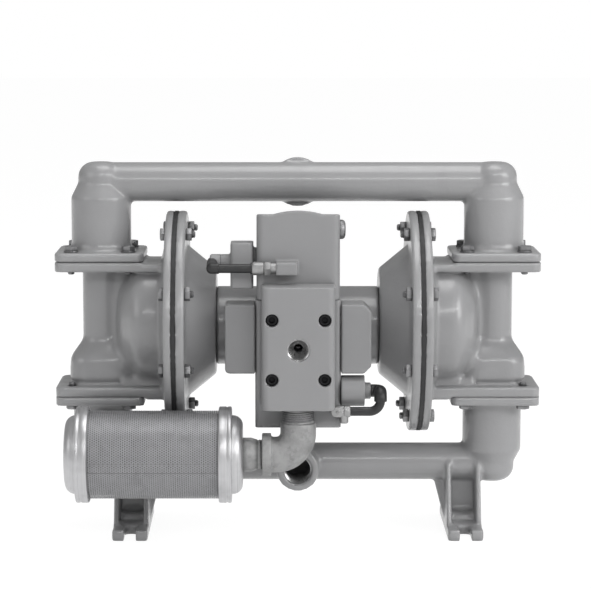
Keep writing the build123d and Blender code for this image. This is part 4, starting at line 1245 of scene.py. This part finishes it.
@dataclass(frozen=True)
class Lamp:
    """One soft area lamp, square unless it has a height of its own."""

    name: str
    place: Triple
    size: float
    power: float
    height: float = 0

    def hang(self, aim: Vector) -> None:
        """Hang the lamp in its place.

        Args:
            aim: The point that it faces.
        """
        data = bpy.data.lights.new(self.name, "AREA")
        data.size = self.size
        if self.height > 0:
            data.shape = "RECTANGLE"
            data.size_y = self.height
        data.energy = self.power
        lamp = bpy.data.objects.new(self.name, data)
        place = Vector(self.place)
        turn = (aim - place).to_track_quat("-Z", "Y").to_matrix().to_4x4()
        lamp.matrix_world = Matrix.Translation(place) @ turn
        bpy.context.scene.collection.objects.link(lamp)


@dataclass
class Studio:
    """The pale floor, the white surround, the soft lamps and the camera."""

    floor_size: float = 30
    floor_colour: Triple = (0.9, 0.9, 0.9)
    floor_light: float = 1.16
    floor_glow: float = 0.8
    surround: float = 0.34
    aim: Triple = (0, 0, 0.22)
    eye: Triple = (-0.022, -2.8007, 0.6067)
    tilt: float = 82.5
    lens: float = 152.3
    shift: Point = (0.0296, 0.044)
    lamps: tuple[Lamp, ...] = (
        Lamp("left", (-2.3, -1.3, 1.3), 1.3, 9),
        Lamp("right", (2.3, -1.4, 1.2), 1.3, 27),
        Lamp("top", (0.2, -0.2, 2.5), 1.4, 23),
        Lamp("front", (1.1, -2.9, 1.75), 4.2, 36, 0.2),
    )

    def pale(self) -> bpy.types.Material:
        """Make the floor's matt white, which glows in the camera and in reflections.

        Returns:
            The material.
        """
        graph = Graph("pale_floor", self.floor_colour, 1, "BsdfDiffuse")
        graph.shader.inputs["Color"].default_value = (*self.floor_colour, 1)
        light = graph.add("Emission")
        light.inputs["Strength"].default_value = self.floor_light
        path = graph.add("LightPath")
        seen = graph.add("Math")
        seen.operation = "MAXIMUM"
        for number, ray in enumerate(("Is Camera Ray", "Is Glossy Ray")):
            graph.join(path.outputs[ray], seen.inputs[number])
        share = graph.add("Math")
        share.operation = "MULTIPLY"
        share.inputs[1].default_value = self.floor_glow
        graph.join(seen.outputs[0], share.inputs[0])
        mix = graph.add("MixShader")
        for number, node in enumerate((share, graph.shader, light)):
            graph.join(node.outputs[0], mix.inputs[number])
        graph.join(mix.outputs[0], graph.output.inputs["Surface"])
        return graph.material

    def floor(self) -> None:
        """Lay the floor under the feet."""
        bm = bmesh.new()
        bmesh.ops.create_grid(bm, x_segments=1, y_segments=1, size=self.floor_size / 2)
        mesh = bpy.data.meshes.new("floor")
        bm.to_mesh(mesh)
        bm.free()
        mesh.materials.append(self.pale())
        floor = bpy.data.objects.new("floor", mesh)
        bpy.context.scene.collection.objects.link(floor)

    def world(self) -> None:
        """Surround the pump with soft grey light that the camera sees as white."""
        world = bpy.data.worlds.new("surround")
        world.use_nodes = True
        tree = world.node_tree
        back = tree.nodes["Background"]
        back.inputs["Color"].default_value = (1, 1, 1, 1)
        path = tree.nodes.new("ShaderNodeLightPath")
        level = tree.nodes.new("ShaderNodeMapRange")
        level.inputs["To Min"].default_value = self.surround
        level.inputs["To Max"].default_value = 1
        tree.links.new(path.outputs["Is Camera Ray"], level.inputs[0])
        tree.links.new(level.outputs[0], back.inputs["Strength"])
        bpy.context.scene.world = world

    def camera(self) -> None:
        """Set the camera in front of the pump and a little above it."""
        data = bpy.data.cameras.new("camera")
        data.lens = self.lens
        data.sensor_width = 36
        data.shift_x, data.shift_y = self.shift
        data.clip_end = 2 * self.floor_size
        camera = bpy.data.objects.new("camera", data)
        camera.location = self.eye
        camera.rotation_euler = (math.radians(self.tilt), 0, 0)
        bpy.context.scene.collection.objects.link(camera)
        bpy.context.scene.camera = camera

    def build(self) -> None:
        """Build the studio."""
        self.floor()
        self.world()
        for lamp in self.lamps:
            lamp.hang(Vector(self.aim))
        self.camera()
        bpy.context.scene.view_settings.view_transform = "Standard"


def main() -> None:
    """Build every piece and set the studio."""
    logging.basicConfig(level=logging.INFO, format="%(message)s", force=True)
    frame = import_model()
    nodes = frame["nodes"]
    Castings().build(nodes)
    Fasteners().build()
    PortThreads().build()
    Silencer().build()
    AirLines().build(nodes)
    HiddenWorks().build(nodes)
    Studio().build()


if __name__ == "__main__":
    main()
